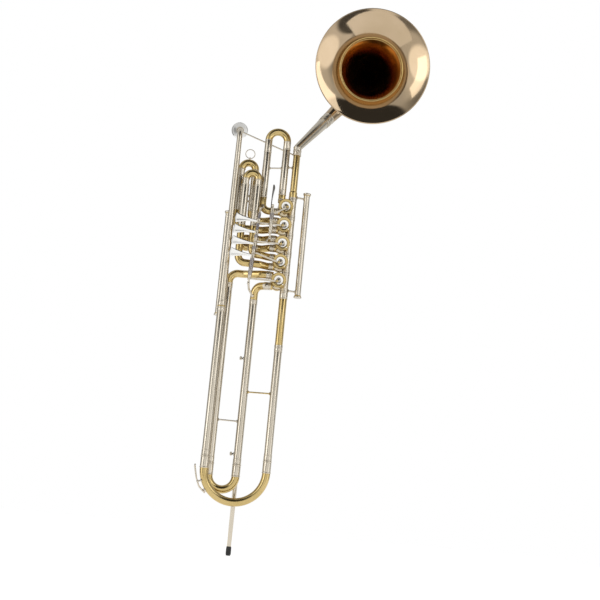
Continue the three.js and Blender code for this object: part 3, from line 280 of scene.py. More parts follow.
def metal(name, light, dark, roughness, grain=0.02, coat=0.0, stretch=(1, 1, 0.04)):
    """Polished metal: a cloudy tint, uneven gloss and fine marks left by drawing and polishing."""
    material, tree, shader = new_material(name)
    place = add_node(tree, "TexCoord", {}).outputs["Object"]
    clouds = noise(tree, place, scale=16, detail=4)
    smudges = noise(tree, place, scale=45, detail=6, roughness=0.65)
    gloss = add_node(tree, "MapRange", {"From Min": 0.35, "From Max": 0.7, "To Min": roughness * 0.75,
                                        "To Max": roughness * 1.5, "Value": smudges})
    lines = add_node(tree, "Mapping", {"Scale": stretch, "Vector": place})
    marks = noise(tree, lines.outputs[0], scale=900, detail=2)
    bump = add_node(tree, "Bump", {"Strength": grain, "Distance": 0.0004, "Height": marks})
    connect(tree, shader, {"Metallic": 1.0, "Coat Weight": coat, "Coat Roughness": 0.06,
                           "Base Color": ramp(tree, clouds, [(0.3, dark), (0.7, light)]),
                           "Roughness": gloss.outputs[0], "Normal": bump.outputs[0]})
    return material


def matte(name, colour, roughness, grain_scale=700, depth=0.25):
    """Rubber, cork or felt: matte, with a fine grain."""
    material, tree, shader = new_material(name)
    place = add_node(tree, "TexCoord", {}).outputs["Object"]
    grain = noise(tree, place, scale=grain_scale, detail=4)
    bump = add_node(tree, "Bump", {"Strength": depth, "Distance": 0.0003, "Height": grain})
    dark, light = [c * 0.6 for c in colour], [min(1, c * 1.4) for c in colour]
    connect(tree, shader, {"Base Color": ramp(tree, grain, [(0.0, dark), (1.0, light)]),
                           "Roughness": roughness, "Normal": bump.outputs[0]})
    return material


NICKEL = metal("nickel_silver_tube", (0.68, 0.62, 0.52), (0.60, 0.54, 0.44), 0.2, grain=0.003)
BRASS = metal("yellow_brass_lacquered", (0.64, 0.49, 0.23), (0.54, 0.40, 0.16), 0.18, grain=0.003)
BELL_BRASS = metal("gold_brass_bell", (0.55, 0.42, 0.28), (0.49, 0.37, 0.235), 0.08, grain=0.002, coat=0.1,
                   stretch=(1, 1, 1))
# Painted shade and bounced light: a darker, more orange brass for the sheet that lines the bell's throat.
THROAT_PAINTED_SHADE = metal("gold_brass_throat_painted_shade", (0.52, 0.30, 0.11), (0.44, 0.24, 0.08), 0.16, grain=0.002)
SILVER = metal("silver_plate", (0.92, 0.91, 0.89), (0.87, 0.86, 0.83), 0.14, grain=0.003)
STEEL = metal("dark_polished_steel", (0.10, 0.095, 0.09), (0.05, 0.047, 0.045), 0.18)
SPRING = metal("spring_wire", (0.50, 0.47, 0.47), (0.36, 0.34, 0.36), 0.25)
RUBBER = matte("black_rubber", (0.022, 0.022, 0.022), 0.7)
CORK = matte("cork", (0.42, 0.27, 0.15), 0.85, grain_scale=1600, depth=0.6)


# ---------- making pieces ----------

SHARP_ANGLE = math.radians(38)
CIRCLE = 40
BEND_STEP = 0.07
BOW_STEP = 0.05
EASE = 0.35
LAP = 0.05
GROOVE_PITCH = 1.6
GROOVE_HALF = 0.5
GROOVE_DEPTH = 0.35


def finish_mesh(name, vertices, faces, node, material, replace=False, bevel=0.0):
    """Makes a piece that rides with its CAD node's body, and stands for the node it is named after."""
    mesh = bpy.data.meshes.new(name)
    mesh.from_pydata([tuple(v * MM) for v in vertices], [], faces)
    work = bmesh.new()
    work.from_mesh(mesh)
    bmesh.ops.remove_doubles(work, verts=work.verts, dist=1e-7)
    bmesh.ops.recalc_face_normals(work, faces=work.faces)
    for face in work.faces:
        face.smooth = True
    for edge in work.edges:
        if len(edge.link_faces) == 2:
            edge.smooth = edge.calc_face_angle(0) < SHARP_ANGLE
    work.to_mesh(mesh)
    work.free()
    mesh.materials.append(material)
    piece = bpy.data.objects.new(name, mesh)
    bpy.context.scene.collection.objects.link(piece)
    if bevel:
        modifier = piece.modifiers.new("rounded_edges", "BEVEL")
        modifier.width = bevel * MM
        modifier.segments = 3
        modifier.limit_method = "ANGLE"
    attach(piece, BODY_OF[node])
    if replace or name == node:
        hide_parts(node)


def route(corners, radii=0.0, step=BEND_STEP):
    """A path through corner points, each interior corner rounded: [(point, direction, distance)]."""
    points = [(corners[0].copy(), (corners[1] - corners[0]).normalized())]
    for i in range(1, len(corners) - 1):
        before = (corners[i] - corners[i - 1]).normalized()
        after = (corners[i + 1] - corners[i]).normalized()
        turn = before.angle(after)
        if turn < 1e-4:
            continue
        radius = radii[i - 1] if isinstance(radii, (list, tuple)) else radii
        start = corners[i] - before * radius * math.tan(turn / 2)
        axis = before.cross(after).normalized()
        centre = start + axis.cross(before) * radius
        steps = max(3, math.ceil(turn / step))
        for k in range(steps + 1):
            spin = Quaternion(axis, turn * k / steps)
            points.append((centre + spin @ (start - centre), spin @ before))
    points.append((corners[-1].copy(), (corners[-1] - corners[-2]).normalized()))
    path = [(*points[0], 0.0)]
    for point, direction in points[1:]:
        gap = (point - path[-1][0]).length
        if gap > 1e-3:
            path.append((point, direction, path[-1][2] + gap))
    return path


def length(path):
    return path[-1][2]


def frames(path):
    """The section axes at each station, carried along without twist."""
    first = path[0][1]
    up = BACK if abs(first.y) < 0.9 else vec(1, 0, 0)
    x = up.cross(first).normalized()
    result = []
    for i, (_, direction, _) in enumerate(path):
        if i:
            x = path[i - 1][1].rotation_difference(direction) @ x
        x = (x - direction * x.dot(direction)).normalized()
        result.append((x, x.cross(direction)))
    return result


def soften(profile, ease):
    """Rounds the corners of an open profile of (distance, radius) pairs."""
    result = [profile[0]]
    for i in range(1, len(profile) - 1):
        here = Vector(profile[i])
        back = Vector(profile[i - 1]) - here
        on = Vector(profile[i + 1]) - here
        if min(back.length, on.length) < 1e-4 or back.angle(on) > math.radians(165):
            result.append(tuple(here))
            continue
        cut = min(ease, back.length * 0.45, on.length * 0.45)
        a = here + back.normalized() * cut
        b = here + on.normalized() * cut
        result += [tuple(a), tuple((a + b + here * 2) / 4), tuple(b)]
    result.append(profile[-1])
    return result


def at_stations(profile, path):
    """The profile with a point wherever it passes a station of the path."""
    marks = [s for _, _, s in path]
    result = [profile[0]]
    for (s0, r0), (s1, r1) in zip(profile, profile[1:]):
        low, high = min(s0, s1), max(s0, s1)
        between = [s for s in marks if low + 1e-3 < s < high - 1e-3]
        for s in between if s1 > s0 else reversed(between):
            result.append((s, r0 + (r1 - r0) * (s - s0) / (s1 - s0)))
        result.append((s1, r1))
    return result


def sweep(name, path, outer, inner, node, material=NICKEL, sides=CIRCLE, replace=False, start=0.0, end=None,
          ease=EASE, shape=None):
    """A round tube or bar along a path. outer and inner are radii, or lists of (distance, radius).

    shape moves each point, given the point and its distance from the path.
    """
    end = length(path) if end is None else end
    outside = outer if isinstance(outer, list) else [(start, outer), (end, outer)]
    if inner:
        inside = inner if isinstance(inner, list) else [(start, inner), (end, inner)]
        loop = outside + inside[::-1] + [outside[0]]
    else:
        loop = [(outside[0][0], 0.0)] + outside + [(outside[-1][0], 0.0)]
    loop = at_stations(soften(loop, ease), path)
    axes = frames(path)
    vertices, rings = [], []
    cursor = [s for _, _, s in path]
    for s, r in loop:
        k = 1
        while k < len(cursor) - 1 and cursor[k] < s - 1e-6:
            k += 1
        share = (s - cursor[k - 1]) / (cursor[k] - cursor[k - 1])
        point = path[k - 1][0].lerp(path[k][0], share)
        x = axes[k - 1][0].lerp(axes[k][0], share).normalized()
        z = axes[k - 1][1].lerp(axes[k][1], share).normalized()
        if r < 1e-4:
            rings.append([len(vertices)])
            vertices.append(point)
            continue
        rings.append(list(range(len(vertices), len(vertices) + sides)))
        for j in range(sides):
            a = 2 * math.pi * j / sides
            place = point + x * (r * math.cos(a)) + z * (r * math.sin(a))
            vertices.append(shape(place, r) if shape else place)
    faces = []
    for a, b in zip(rings, rings[1:]):
        for j in range(sides):
            k = (j + 1) % sides
            corners = [a[j % len(a)], a[k % len(a)], b[k % len(b)], b[j % len(b)]]
            face = list(dict.fromkeys(corners))
            if len(face) > 2:
                faces.append(face)
    finish_mesh(name, vertices, faces, node, material, replace)


def line(a, b):
    return route([a, b])


def rod(name, a, b, radius, node, material=NICKEL, sides=24):
    sweep(name, line(a, b), radius, 0, node, material, sides)


def ring(name, path, start, end, inner, outer, node, material=NICKEL, grooves=0, sides=CIRCLE):
    """A sleeve round a tube, with rounded ends and turned grooves."""
    outside = [(start, outer), (end, outer)]
    insets = [GROOVE_PITCH * (g + 1) for g in range(grooves)]
    for place in sorted([start + s for s in insets] + [end - s for s in insets]):
        outside[-1:-1] = [(place - GROOVE_HALF, outer), (place, outer - GROOVE_DEPTH),
                          (place + GROOVE_HALF, outer)]
    inside = inner - LAP
    sweep(name, path, outside, [(start, inside), (end, inside)], node, material, sides)


def bead(name, path, start, end, inner, outer, node, material=NICKEL, sides=CIRCLE):
    """A half-round bead round a tube."""
    centre, half, rise = (start + end) / 2, (end - start) / 2, outer - inner
    turns = [math.pi * k / 8 for k in range(9)]
    outside = [(centre - half * math.cos(a), inner + rise * math.sin(a)) for a in turns]
    inside = inner - LAP
    sweep(name, path, outside, [(start, inside), (end, inside)], node, material, sides)


def plate(name, outline, thickness, place, node, material=NICKEL, bevel=0.4):
    """An outline of (x, y) points extruded by thickness, put in place by a matrix."""
    count = len(outline)
    vertices = [place @ vec(x, y, h) for h in (-thickness / 2, thickness / 2) for x, y in outline]
    faces = [list(range(count))[::-1], list(range(count, 2 * count))]
    faces += [[i, (i + 1) % count, count + (i + 1) % count, count + i] for i in range(count)]
    finish_mesh(name, vertices, faces, node, material, bevel=bevel)


def block(name, low, high, node, material, bevel, place):
    """A block between two corners, with rounded edges, put in place by a matrix."""
    outline = [(low[0], low[1]), (high[0], low[1]), (high[0], high[1]), (low[0], high[1])]
    lift = place @ Matrix.Translation((0, 0, (low[2] + high[2]) / 2))
    plate(name, outline, high[2] - low[2], lift, node, material, bevel)


def axes_at(origin, x, y):
    """A frame at a point from two of its directions."""
    z = x.cross(y).normalized()
    turn = Matrix((x.normalized(), z.cross(x).normalized(), z)).transposed().to_4x4()
    return Matrix.Translation(origin) @ turn


def arc(centre, radius, first, last, steps):
    return [(centre[0] + radius * math.cos(first + (last - first) * k / steps),
             centre[1] + radius * math.sin(first + (last - first) * k / steps)) for k in range(steps + 1)]


def helix(name, a, b, radius, wire, turns, node):
    """A coil of wire wound round the line from a to b."""
    along = (b - a).normalized()
    side = along.orthogonal().normalized()
    other = along.cross(side)
    steps = int(turns * 16)
    points = []
    for k in range(steps + 1):
        angle = 2 * math.pi * turns * k / steps
        out = side * (radius * math.cos(angle)) + other * (radius * math.sin(angle))
        points.append(a + (b - a) * (k / steps) + out)
    path = []
    for k, point in enumerate(points):
        ahead = points[min(k + 1, steps)] - points[max(k - 1, 0)]
        path.append((point, ahead.normalized(),
                     0.0 if not path else path[-1][2] + (point - path[-1][0]).length))
    sweep(name, path, wire, 0, node, SPRING, 8, ease=0)


def brace(name, corners, node, material=NICKEL, bend=6, radius=BRACE_R):
    """A thin brace with a flared foot where it meets each tube."""
    path = route(corners, bend)
    total = length(path)
    foot = [(0.0, radius + 2.1), (0.8, radius + 2.1), (3.2 * 0.6, radius + 0.5), (3.2, radius)]
    outer = foot + [(total - s, r) for s, r in foot[::-1]]
    sweep(name, path, outer, 0, node, material, 20)


# ---------- shapes used by several parts ----------

def rounded(points, per=5):
    """A smooth curve through (distance, radius) points."""
    result = [points[0]]
    for i in range(len(points) - 1):
        before, a = points[max(i - 1, 0)], points[i]
        b, after = points[i + 1], points[min(i + 2, len(points) - 1)]
        for k in range(1, per + 1):
            t = k / per
            result.append(tuple(0.5 * (2 * q + (r - p) * t + (2 * p - 5 * q + 4 * r - w) * t * t
                                       + (3 * q - p - 3 * r + w) * t ** 3)
                                for p, q, r, w in zip(before, a, b, after)))
    return result


def torus(name, centre, normal, radius, wire, node, material=NICKEL, around=72, section=16):
    """A closed ring of round wire."""
    side = normal.orthogonal().normalized()
    other = normal.cross(side).normalized()
    vertices, faces = [], []
    for i in range(around):
        angle = 2 * math.pi * i / around
        out = side * math.cos(angle) + other * math.sin(angle)
        for j in range(section):
            turn = 2 * math.pi * j / section
            reach = radius + wire * math.cos(turn)
            vertices.append(centre + out * reach + normal * (wire * math.sin(turn)))
    for i in range(around):
        for j in range(section):
            a, b = i * section, (i + 1) % around * section
            k = (j + 1) % section
            faces.append([a + j, b + j, b + k, a + k])
    finish_mesh(name, vertices, faces, node, material)


def screw(name, place, out, radius, rise, node, material=STEEL):
    """A round screw head with a slot, standing out from a surface."""
    sweep(name, line(place - out * 0.5, place + out * rise),
          [(0.0, radius), (0.5 + rise * 0.6, radius), (0.5 + rise, radius * 0.7)], 0, node, material, 20,
          ease=0.15)
    side = out.orthogonal().normalized()
    block(f"{name}_slot", (-radius * 0.8, -0.14, -0.1), (radius * 0.8, 0.14, 0.06), node, STEEL, 0,
          axes_at(place + out * rise, side, out.cross(side)))


def knurl(name, a, b, radius, depth, teeth, node, material=NICKEL):
    """A band of fine straight ridges round an axis."""
    side = (b - a).orthogonal().normalized()
    outline = []
    for k in range(teeth * 2):
        r = radius + (depth if k % 2 else 0.0)
        outline.append((r * math.cos(math.pi * k / teeth), r * math.sin(math.pi * k / teeth)))
    place = axes_at((a + b) / 2, side, (b - a).cross(side))
    plate(name, outline, (b - a).length, place, node, material, 0)


def strip(points, half):
    """The outline of a strip that follows points, half as wide to each side."""
    left, right = [], []
    for i, point in enumerate(points):
        here = Vector(point)
        back = (here - Vector(points[i - 1])).normalized() if i else None
        on = (Vector(points[i + 1]) - here).normalized() if i < len(points) - 1 else None
        along = ((back or on) + (on or back)).normalized()
        side = Vector((-along.y, along.x)) * half
        left.append(tuple(here + side))
        right.append(tuple(here - side))
    return left + right[::-1]


# ---------- leadpipe and main line ----------

LEAD_CORNER = vec(LEFT_X, 0, 264)
MOUTH_TILT = math.radians(19)
MOUTH_AXIS = vec(0, math.cos(MOUTH_TILT), math.sin(MOUTH_TILT))
RECEIVER_END = LEAD_CORNER + MOUTH_AXIS * 70


def leadpipe():
    node = "leadpipe"
    foot = vec(LEFT_X, 0, box(node)[0].z)
    path = route([foot, LEAD_CORNER, RECEIVER_END], 22)
    end = length(path)
    tip = end - 34
    sweep("leadpipe", path, [(0.0, 8.3), (tip + 2, 6.0)], [(0.0, 7.4), (tip + 2, 5.1)], node)
    ring("leadpipe_joint", path, 0.0, 16, 8.3, 9.3, node, grooves=2)
    bead("leadpipe_joint_bead", path, 0.0, 2.6, 9.0, 10.1, node, BRASS)
    receiver = [(tip, 7.0), (tip + 2, 8.6), (end - 6, 8.6), (end - 5, 9.6), (end, 9.6)]
    sweep("mouthpiece_receiver", path, receiver, [(tip, 6.0), (end, 6.2)], node)
    for k, place in enumerate((tip + 8, tip + 10.5)):
        bead(f"receiver_ring_{k}", path, place, place + 1.6, 8.5, 9.2, node)


def outer_tube(node):
    low, high = box(node)
    path = upright(middle(node).x, middle(node).y, low.z, high.z)
    end = length(path)
    sweep(node, path, MAIN_R, MAIN_R - WALL, node)
    bead(f"{node}_end", path, 0.0, 2.8, MAIN_R, MAIN_R + 0.8, node)
    ring(f"{node}_sleeve", path, 0.3, 14, MAIN_R, MAIN_R + 0.45, node, grooves=1)
    ring(f"{node}_joint", path, end - 12, end, MAIN_R, MAIN_R + 0.6, node, grooves=2)


def inlet_tube():
    node = "valve_inlet_tube"
    low, high = box(node)
    path = upright(RIGHT_X, 0, low.z, high.z)
    end = length(path)
    sweep(node, path, MAIN_R, MAIN_BORE_R, node, BRASS)
    ring("inlet_ferrule", path, end - 18, end, MAIN_R, MAIN_R + 0.8, node, grooves=2)
    ring("inlet_joint", path, 0.0, 4, MAIN_R, MAIN_R + 0.8, node)


def lower_slide(node, left_x, right_x, y):
    """A long U that closes two slide tubes from below: thin legs, ferrules and a bow."""
    top = box(node)[1].z
    radius = (right_x - left_x) / 2
    leg = 120.3
    bow_top = top - leg - FERRULE_LENGTH
    crown = bow_top - radius
    corners = [vec(left_x, y, top), vec(left_x, y, crown), vec(right_x, y, crown), vec(right_x, y, top)]
    path = route(corners, radius, BOW_STEP)
    total = length(path)
    inside = leg + 5
    sweep(f"{node}_leg_left", path, MAIN_LEG_R, MAIN_BORE_R, node, replace=True, end=inside)
    sweep(f"{node}_leg_right", path, MAIN_LEG_R, MAIN_BORE_R, node, start=total - inside)
    bow_start = leg + FERRULE_LENGTH - 4
    sweep(f"{node}_bow", path, BOW_R, MAIN_BORE_R, node, BRASS, start=bow_start, end=total - bow_start)
    for side, start, way in (("left", 0.0, 1), ("right", total, -1)):
        low, high = sorted((start + way * leg, start + way * (leg + FERRULE_LENGTH)))
        ring(f"{node}_ferrule_{side}", path, low, high, MAIN_LEG_R, 9.65, node, grooves=2)
        for k, s in enumerate((leg + 1.7, leg + FERRULE_LENGTH - 1.5)):
            place = start + way * s
            bead(f"{node}_bead_{side}_{k}", path, place - 1.6, place + 1.6, 9.5, 10.4, node)
    return bow_top, radius


# ---------- water key on the main bow ----------

KEY_CAP_ANGLE = 38
KEY_PIVOT_ANGLE = 21
KEY_TOUCH_ANGLE = -2


def water_key(bow_top, radius):
    """The seat and pivot on the main bow, and the sprung key that closes it."""
    centre = vec((LEFT_X + RIGHT_X) / 2, 0, bow_top)
    outside = radius + BOW_R

    def at(height, degrees, y=0.0):
        a, r = math.radians(degrees), outside + height
        return centre + vec(-math.cos(a) * r, y, -math.sin(a) * r)

    def stub(name, low, high, degrees, y, radius, node, material=NICKEL, sides=24):
        rod(name, at(low, degrees, y), at(high, degrees, y), radius, node, material, sides)

    seat, key = "main_slide", "water_key"
    stub("key_nipple", -1.5, 2, KEY_CAP_ANGLE, 0, 4, seat)
    stub("key_nipple_foot", -1.5, 0.7, KEY_CAP_ANGLE, 0, 5.6, seat)
    pivot = at(7, KEY_PIVOT_ANGLE)
    for side in (-1, 1):
        y, out = side * 5, BACK * side
        stub(f"key_post_{side}", -2, 10, KEY_PIVOT_ANGLE, y, 1.8, seat)
        stub(f"key_post_foot_{side}", -2, 0.8, KEY_PIVOT_ANGLE, y, 2.6, seat)
        rod(f"key_axle_head_{side}", pivot + out * 6.0, pivot + out * 7.4, 2.1, seat)
        helix(f"key_spring_{side}", pivot + out * 2.9, pivot + out * 3.2, 2.6, 0.3, 1.5, key)
    rod("key_axle", pivot - BACK * 6.4, pivot + BACK * 6.4, 1.2, seat, STEEL)
    path = route([at(5, KEY_CAP_ANGLE), at(8.4, KEY_CAP_ANGLE - 10), at(8.6, KEY_PIVOT_ANGLE - 6),
                  at(11.5, KEY_TOUCH_ANGLE)], 14)
    total = length(path)
    sweep("water_key_arm", path, [(0.0, 2.1), (total * 0.4, 1.6), (total, 1.9)], 0, key, sides=20,
          replace=True)
    stub("water_key_cap", 3.4, 5.8, KEY_CAP_ANGLE, 0, 5.2, key, sides=32)
    stub("water_key_cork", 2.3, 3.6, KEY_CAP_ANGLE, 0, 4.7, key, CORK, 28)
    sweep("water_key_touch", line(at(9.5, KEY_TOUCH_ANGLE), at(13, KEY_TOUCH_ANGLE)),
          [(0.0, 3.4), (1.2, 4.2), (2.6, 4.2), (3.5, 3.2)], 0, key, sides=28)
    sweep("water_key_sleeve", line(pivot - BACK * 2.6, pivot + BACK * 2.6), 3, 1.6, key, sides=24)


# ---------- valves ----------

STOP_ANGLE = {n: math.radians(315 if n == 5 else 225) for n in VALVES}
STOP_ARM = {n: 4.5 if n == 5 else 6.0 for n in VALVES}


def on_valve(n, x, y, z):
    """A point in millimetres from the middle of valve n."""
    return VALVES[n] + vec(x, y, z)


def clear_of_rotor(n, mean_r):
    """Keeps both walls of a tube, either side of a mean radius, out of the casing's bore."""
    axis = on_valve(n, 0, 0, 0)

    def shape(point, radius):
        across = vec(point.x - axis.x, 0, point.z - axis.z)
        least = (14.9 if radius > mean_r else 15.2)
        return point + across.normalized() * max(0.0, least - across.length)

    return shape


def even(end, radius, count=30):
    """A profile of one radius with evenly spaced stations."""
    return [(end * k / count, radius) for k in range(count + 1)]


def casing(n):
    node = f"valve_casing_{n}"
    axis = line(on_valve(n, 0, -23, 0), on_valve(n, 0, 21, 0))
    sweep(node, axis, [(0.0, 16.4), (1.0, 17.2), (44.0, 17.2)],
          [(0.0, 11.6), (2.0, 11.6), (2.0, 4.0), (7.0, 4.0), (7.0, 14.7), (44.0, 14.7)], node, BRASS, 56)
    bead(f"{node}_front_ring", axis, 0.6, 4.4, CASING_R, CASING_R + 0.6, node, BRASS, sides=56)
    ring(f"{node}_back_ring", axis, 36, 43.6, CASING_R, CASING_R + 0.4, node, BRASS, 2, 56)
    sweep(f"{node}_bearing", line(on_valve(n, 0, -22.5, 0), on_valve(n, 0, -20.8, 0)),
          [(0.0, 10.2), (0.5, 10.8), (1.7, 10.8)], [(0.0, 5.4), (1.7, 5.4)], node, SILVER, 48)
    half = 21.85
    knuckle = line(on_valve(n, 16, 0, -21.85), on_valve(n, 16, 0, 21.85))
    sweep(f"{node}_knuckle", knuckle, even(2 * half, MAIN_R), even(2 * half, MAIN_BORE_R), node,
          shape=clear_of_rotor(n, (MAIN_R + MAIN_BORE_R) / 2))
    for k, start in enumerate((0.0, 2 * half - 6.5)):
        ring(f"{node}_knuckle_ring_{k}", knuckle, start, start + 6.5, MAIN_R, MAIN_R + 0.55, node, grooves=1)
    for side in (-1, 1):
        z = side * (13 if n == 4 else 11)
        if n == 5 and side == 1:
            port = line(on_valve(n, -10, 0, 12), on_valve(n, -10, 0, 20.2))
        else:
            port = line(on_valve(n, -12, 0, z), on_valve(n, -20, 0, z))
        end = length(port)
        sweep(f"{node}_port_{side}", port, even(end, VALVE_R), even(end, VALVE_BORE_R), node, BRASS,
              shape=clear_of_rotor(n, (VALVE_R + VALVE_BORE_R) / 2))
        ring(f"{node}_port_ring_{side}", port, end - 4, end, VALVE_R, VALVE_R + 0.6, node, grooves=1)
    angle = STOP_ANGLE[n] + math.radians(-90 if n == 5 else 90)
    out = vec(math.cos(angle), 0, math.sin(angle))
    place = axes_at(on_valve(n, 0, -23.9, 0) + out * 14.4, vec(-out.z, 0, out.x), out)
    block(f"{node}_stop_plate", (-5, -1.9, -0.9), (5, 1.9, 0.9), node, BRASS, 0.4, place)
    screw(f"{node}_stop_screw", on_valve(n, 0, -24.8, 0) + out * 14.4, FRONT, 1.6, 0.8, node, SILVER)


def back_cap(n):
    node = f"valve_cap_{n}"
    axis = line(on_valve(n, 0, 17, 0), on_valve(n, 0, 27, 0))
    profile = [(0.0, 14.2), (4.3, 14.2), (4.3, 17.6), (8.0, 17.6), (8.5, 16.6), (8.5, 14.6), (8.1, 14.2),
               (8.1, 13.2), (8.5, 12.8), (8.5, 6.4), (9.0, 6.0), (9.7, 5.6), (10.0, 4.4)]
    sweep(node, axis, profile, 0, node, BRASS, 56)
    knurl(f"{node}_knurl", on_valve(n, 0, 22.1, 0), on_valve(n, 0, 24.3, 0), 17.45, 0.4, 60, node, BRASS)


def rotor(n):
    """The rotor's drum, its stem, the stop arm and the ball the link takes hold of."""
    node = f"rotor_{n}"
    drum(n, node)
    sweep(f"{node}_stem", line(on_valve(n, 0, -15, 0), on_valve(n, 0, -25.9, 0)),
          [(0.0, 3.5), (6.8, 3.5), (7.3, 4.9), (10.4, 4.9), (10.9, 4.5)], 0, node, sides=32)
    arm, angle = STOP_ARM[n], STOP_ANGLE[n]
    along = vec(math.cos(angle), 0, math.sin(angle))
    points = [(-2.0, -2.0), (arm * 0.5, -2.2), (arm, -2.5), (arm + 2.0, -1.6), (arm + 2.7, 0.0),
              (arm + 2.0, 1.6), (arm, 2.5), (arm * 0.5, 2.2), (-2.0, 2.0)]
    place = axes_at(on_valve(n, 0, -24.6, 0), along, vec(-along.z, 0, along.x))
    plate(f"{node}_arm", points, 2.6, place, node, bevel=0.35)
    screw(f"{node}_screw", on_valve(n, 0, -25.9, 0), FRONT, 2.4, 0.8, node)
    pin = on_valve(n, 0, -25.7, 0) + along * arm
    rod(f"{node}_pin", pin, pin + FRONT * 6.7, 1.2, node, sides=16)
    dome = [(0.0, 3.1)] + [(2.1 * math.sin(a), 3.3 * math.cos(a)) for a in (0.2, 0.5, 0.8, 1.1, 1.35)]
    sweep(f"{node}_ball", line(pin + FRONT * 6.45, pin + FRONT * 8.6), dome, 0, node, BRASS, 28, ease=0.1)


DRUM_R = 14.2
DRUM_FRONT = -15.5
DRUM_BACK = 16.0
CHANNEL_X = 12.0
CHANNEL_R = 7.1
DRUM_SLICES = 24


def drum(n, node):
    """The rotor's drum: a cylinder across the valve with a channel down each side."""
    vertices, faces = [], []
    bite = [(CHANNEL_X - CHANNEL_R * math.cos(t), CHANNEL_R * math.sin(t))
            for t in (math.pi * (j / 12 - 0.5) for j in range(13))]
    per = 2 * len(bite) + 4
    for k in range(DRUM_SLICES + 1):
        z = -DRUM_R * math.cos(math.pi * (0.03 + 0.94 * k / DRUM_SLICES))
        w = math.sqrt(DRUM_R * DRUM_R - z * z)
        outline = [(-w, DRUM_FRONT), (w, DRUM_FRONT)] + [(min(w, x), y) for x, y in bite]
        outline += [(w, DRUM_BACK), (-w, DRUM_BACK)] + [(max(-w, -x), -y) for x, y in bite]
        vertices += [on_valve(n, x, y, z) for x, y in outline]
    for k in range(DRUM_SLICES):
        a, b = k * per, (k + 1) * per
        faces += [[a + j, a + (j + 1) % per, b + (j + 1) % per, b + j] for j in range(per)]
    faces += [list(range(per))[::-1], list(range(DRUM_SLICES * per, (DRUM_SLICES + 1) * per))]
    finish_mesh(node, vertices, faces, node, BRASS)


# ---------- valve slides ----------

def slide_tube(name, node, path, joint, replace, port_ring=True):
    """A slide tube in two tones: brass from the valve as far as joint, nickel silver beyond it."""
    end = length(path)
    sweep(f"{name}_elbow", path, VALVE_R, VALVE_BORE_R, node, BRASS, replace=replace, end=joint)
    lap = joint - 3
    sweep(f"{name}_sleeve", path, [(lap, VALVE_R + 0.3), (end, VALVE_R + 0.3)],
          [(lap, VALVE_R - LAP), (joint, VALVE_R - LAP), (joint, VALVE_R - WALL), (end, VALVE_R - WALL)],
          node)
    for k, place in enumerate((lap, end - 2.9)):
        bead(f"{name}_bead_{k}", path, place, place + 2.9, VALVE_R, VALVE_R + 0.9, node)
    if port_ring:
        ring(f"{name}_port_ring", path, 0.0, 5, VALVE_R, VALVE_R + 0.6, node, grooves=1)


def cross_brace(name, node, left_x, right_x, y, z):
    a, b = vec(left_x, y, z), vec(right_x, y, z + 5)
    along = (b - a).normalized()
    brace(name, [a + along * 8.4, b - along * 8.4], node, radius=1.6)


def tuning_slide(node, corners, radius, legs):
    """A tuning slide: two thin legs, a bead where each leaves its tube, and a brass bow."""
    path = route(corners, radius, BOW_STEP)
    total = length(path)
    low, high = legs[0], total - legs[1]
    sweep(f"{node}_leg_left", path, VALVE_LEG_R, VALVE_BORE_R, node, replace=True, end=low + 3)
    sweep(f"{node}_leg_right", path, VALVE_LEG_R, VALVE_BORE_R, node, start=high - 3)
    sweep(f"{node}_bow", path, VALVE_R + 0.1, VALVE_BORE_R, node, BRASS, start=low, end=high)
    for side, start in (("left", low), ("right", high - 2)):
        bead(f"{node}_bead_{side}", path, start, start + 2, VALVE_R - 0.1, VALVE_R + 0.7, node)
    return path, low, high


# The rising slides: leg positions, row, tops of the tubes, where the bow starts, leg length,
# height of the brass elbows' joint, height of the brace.
RISING = {
    "fifth": dict(left=0, right=44, y=0, tops=(221, 232), bow=250, leg=90, joint=110, brace=180),
    "first": dict(left=-56, right=-24, y=17, tops=(160, 160), bow=177, leg=70, joint=78, brace=108),
    "third": dict(left=-44, right=-15.5, y=-13, tops=(132, 132), bow=146, leg=75, joint=36, brace=90),
}


def rising_slide(name, left_z, right_z):
    """Two tubes that leave a valve at heights left_z and right_z and rise, and the slide in them."""
    tubes, moving = f"{name}_slide_tubes", f"{name}_slide"
    size = RISING[name]
    y = size["y"]
    for side, x, z, top in (("left", size["left"], left_z, size["tops"][0]),
                            ("right", size["right"], right_z, size["tops"][1])):
        if z > 100:
            path = line(vec(x, y, z), vec(x, y, top))
        elif y:
            path = route([vec(PORT_X, 0, z), vec(25.7, 0, z), vec(5.7, y, z), vec(x, y, z), vec(x, y, top)],
                         [9, 9, 16])
        else:
            path = route([vec(PORT_X, 0, z), vec(x, y, z), vec(x, y, top)], 16)
        joint = length(path) - (top - max(size["joint"], z + 12))
        slide_tube(f"{name}_{side}", tubes, path, joint, side == "left", z < 100)
    cross_brace(f"{name}_cross_brace", tubes, size["left"], size["right"], y, size["brace"])
    radius = (size["right"] - size["left"]) / 2
    crown = size["bow"] + radius
    feet = [top - size["leg"] for top in size["tops"]]
    corners = [vec(size["left"], y, feet[0]), vec(size["left"], y, crown), vec(size["right"], y, crown),
               vec(size["right"], y, feet[1])]
    legs = [size["leg"] + size["bow"] - top - 2 for top in size["tops"]]
    return *tuning_slide(moving, corners, radius, legs), crown


def fifth_slide():
    path, low, high, _ = rising_slide("fifth", 77, 108.5)
    for side, start, end in (("left", low - 27, low + 2), ("right", high - 2, high + 16)):
        ring(f"fifth_ferrule_{side}", path, start, end, VALVE_LEG_R, VALVE_R + 0.25, "fifth_slide")


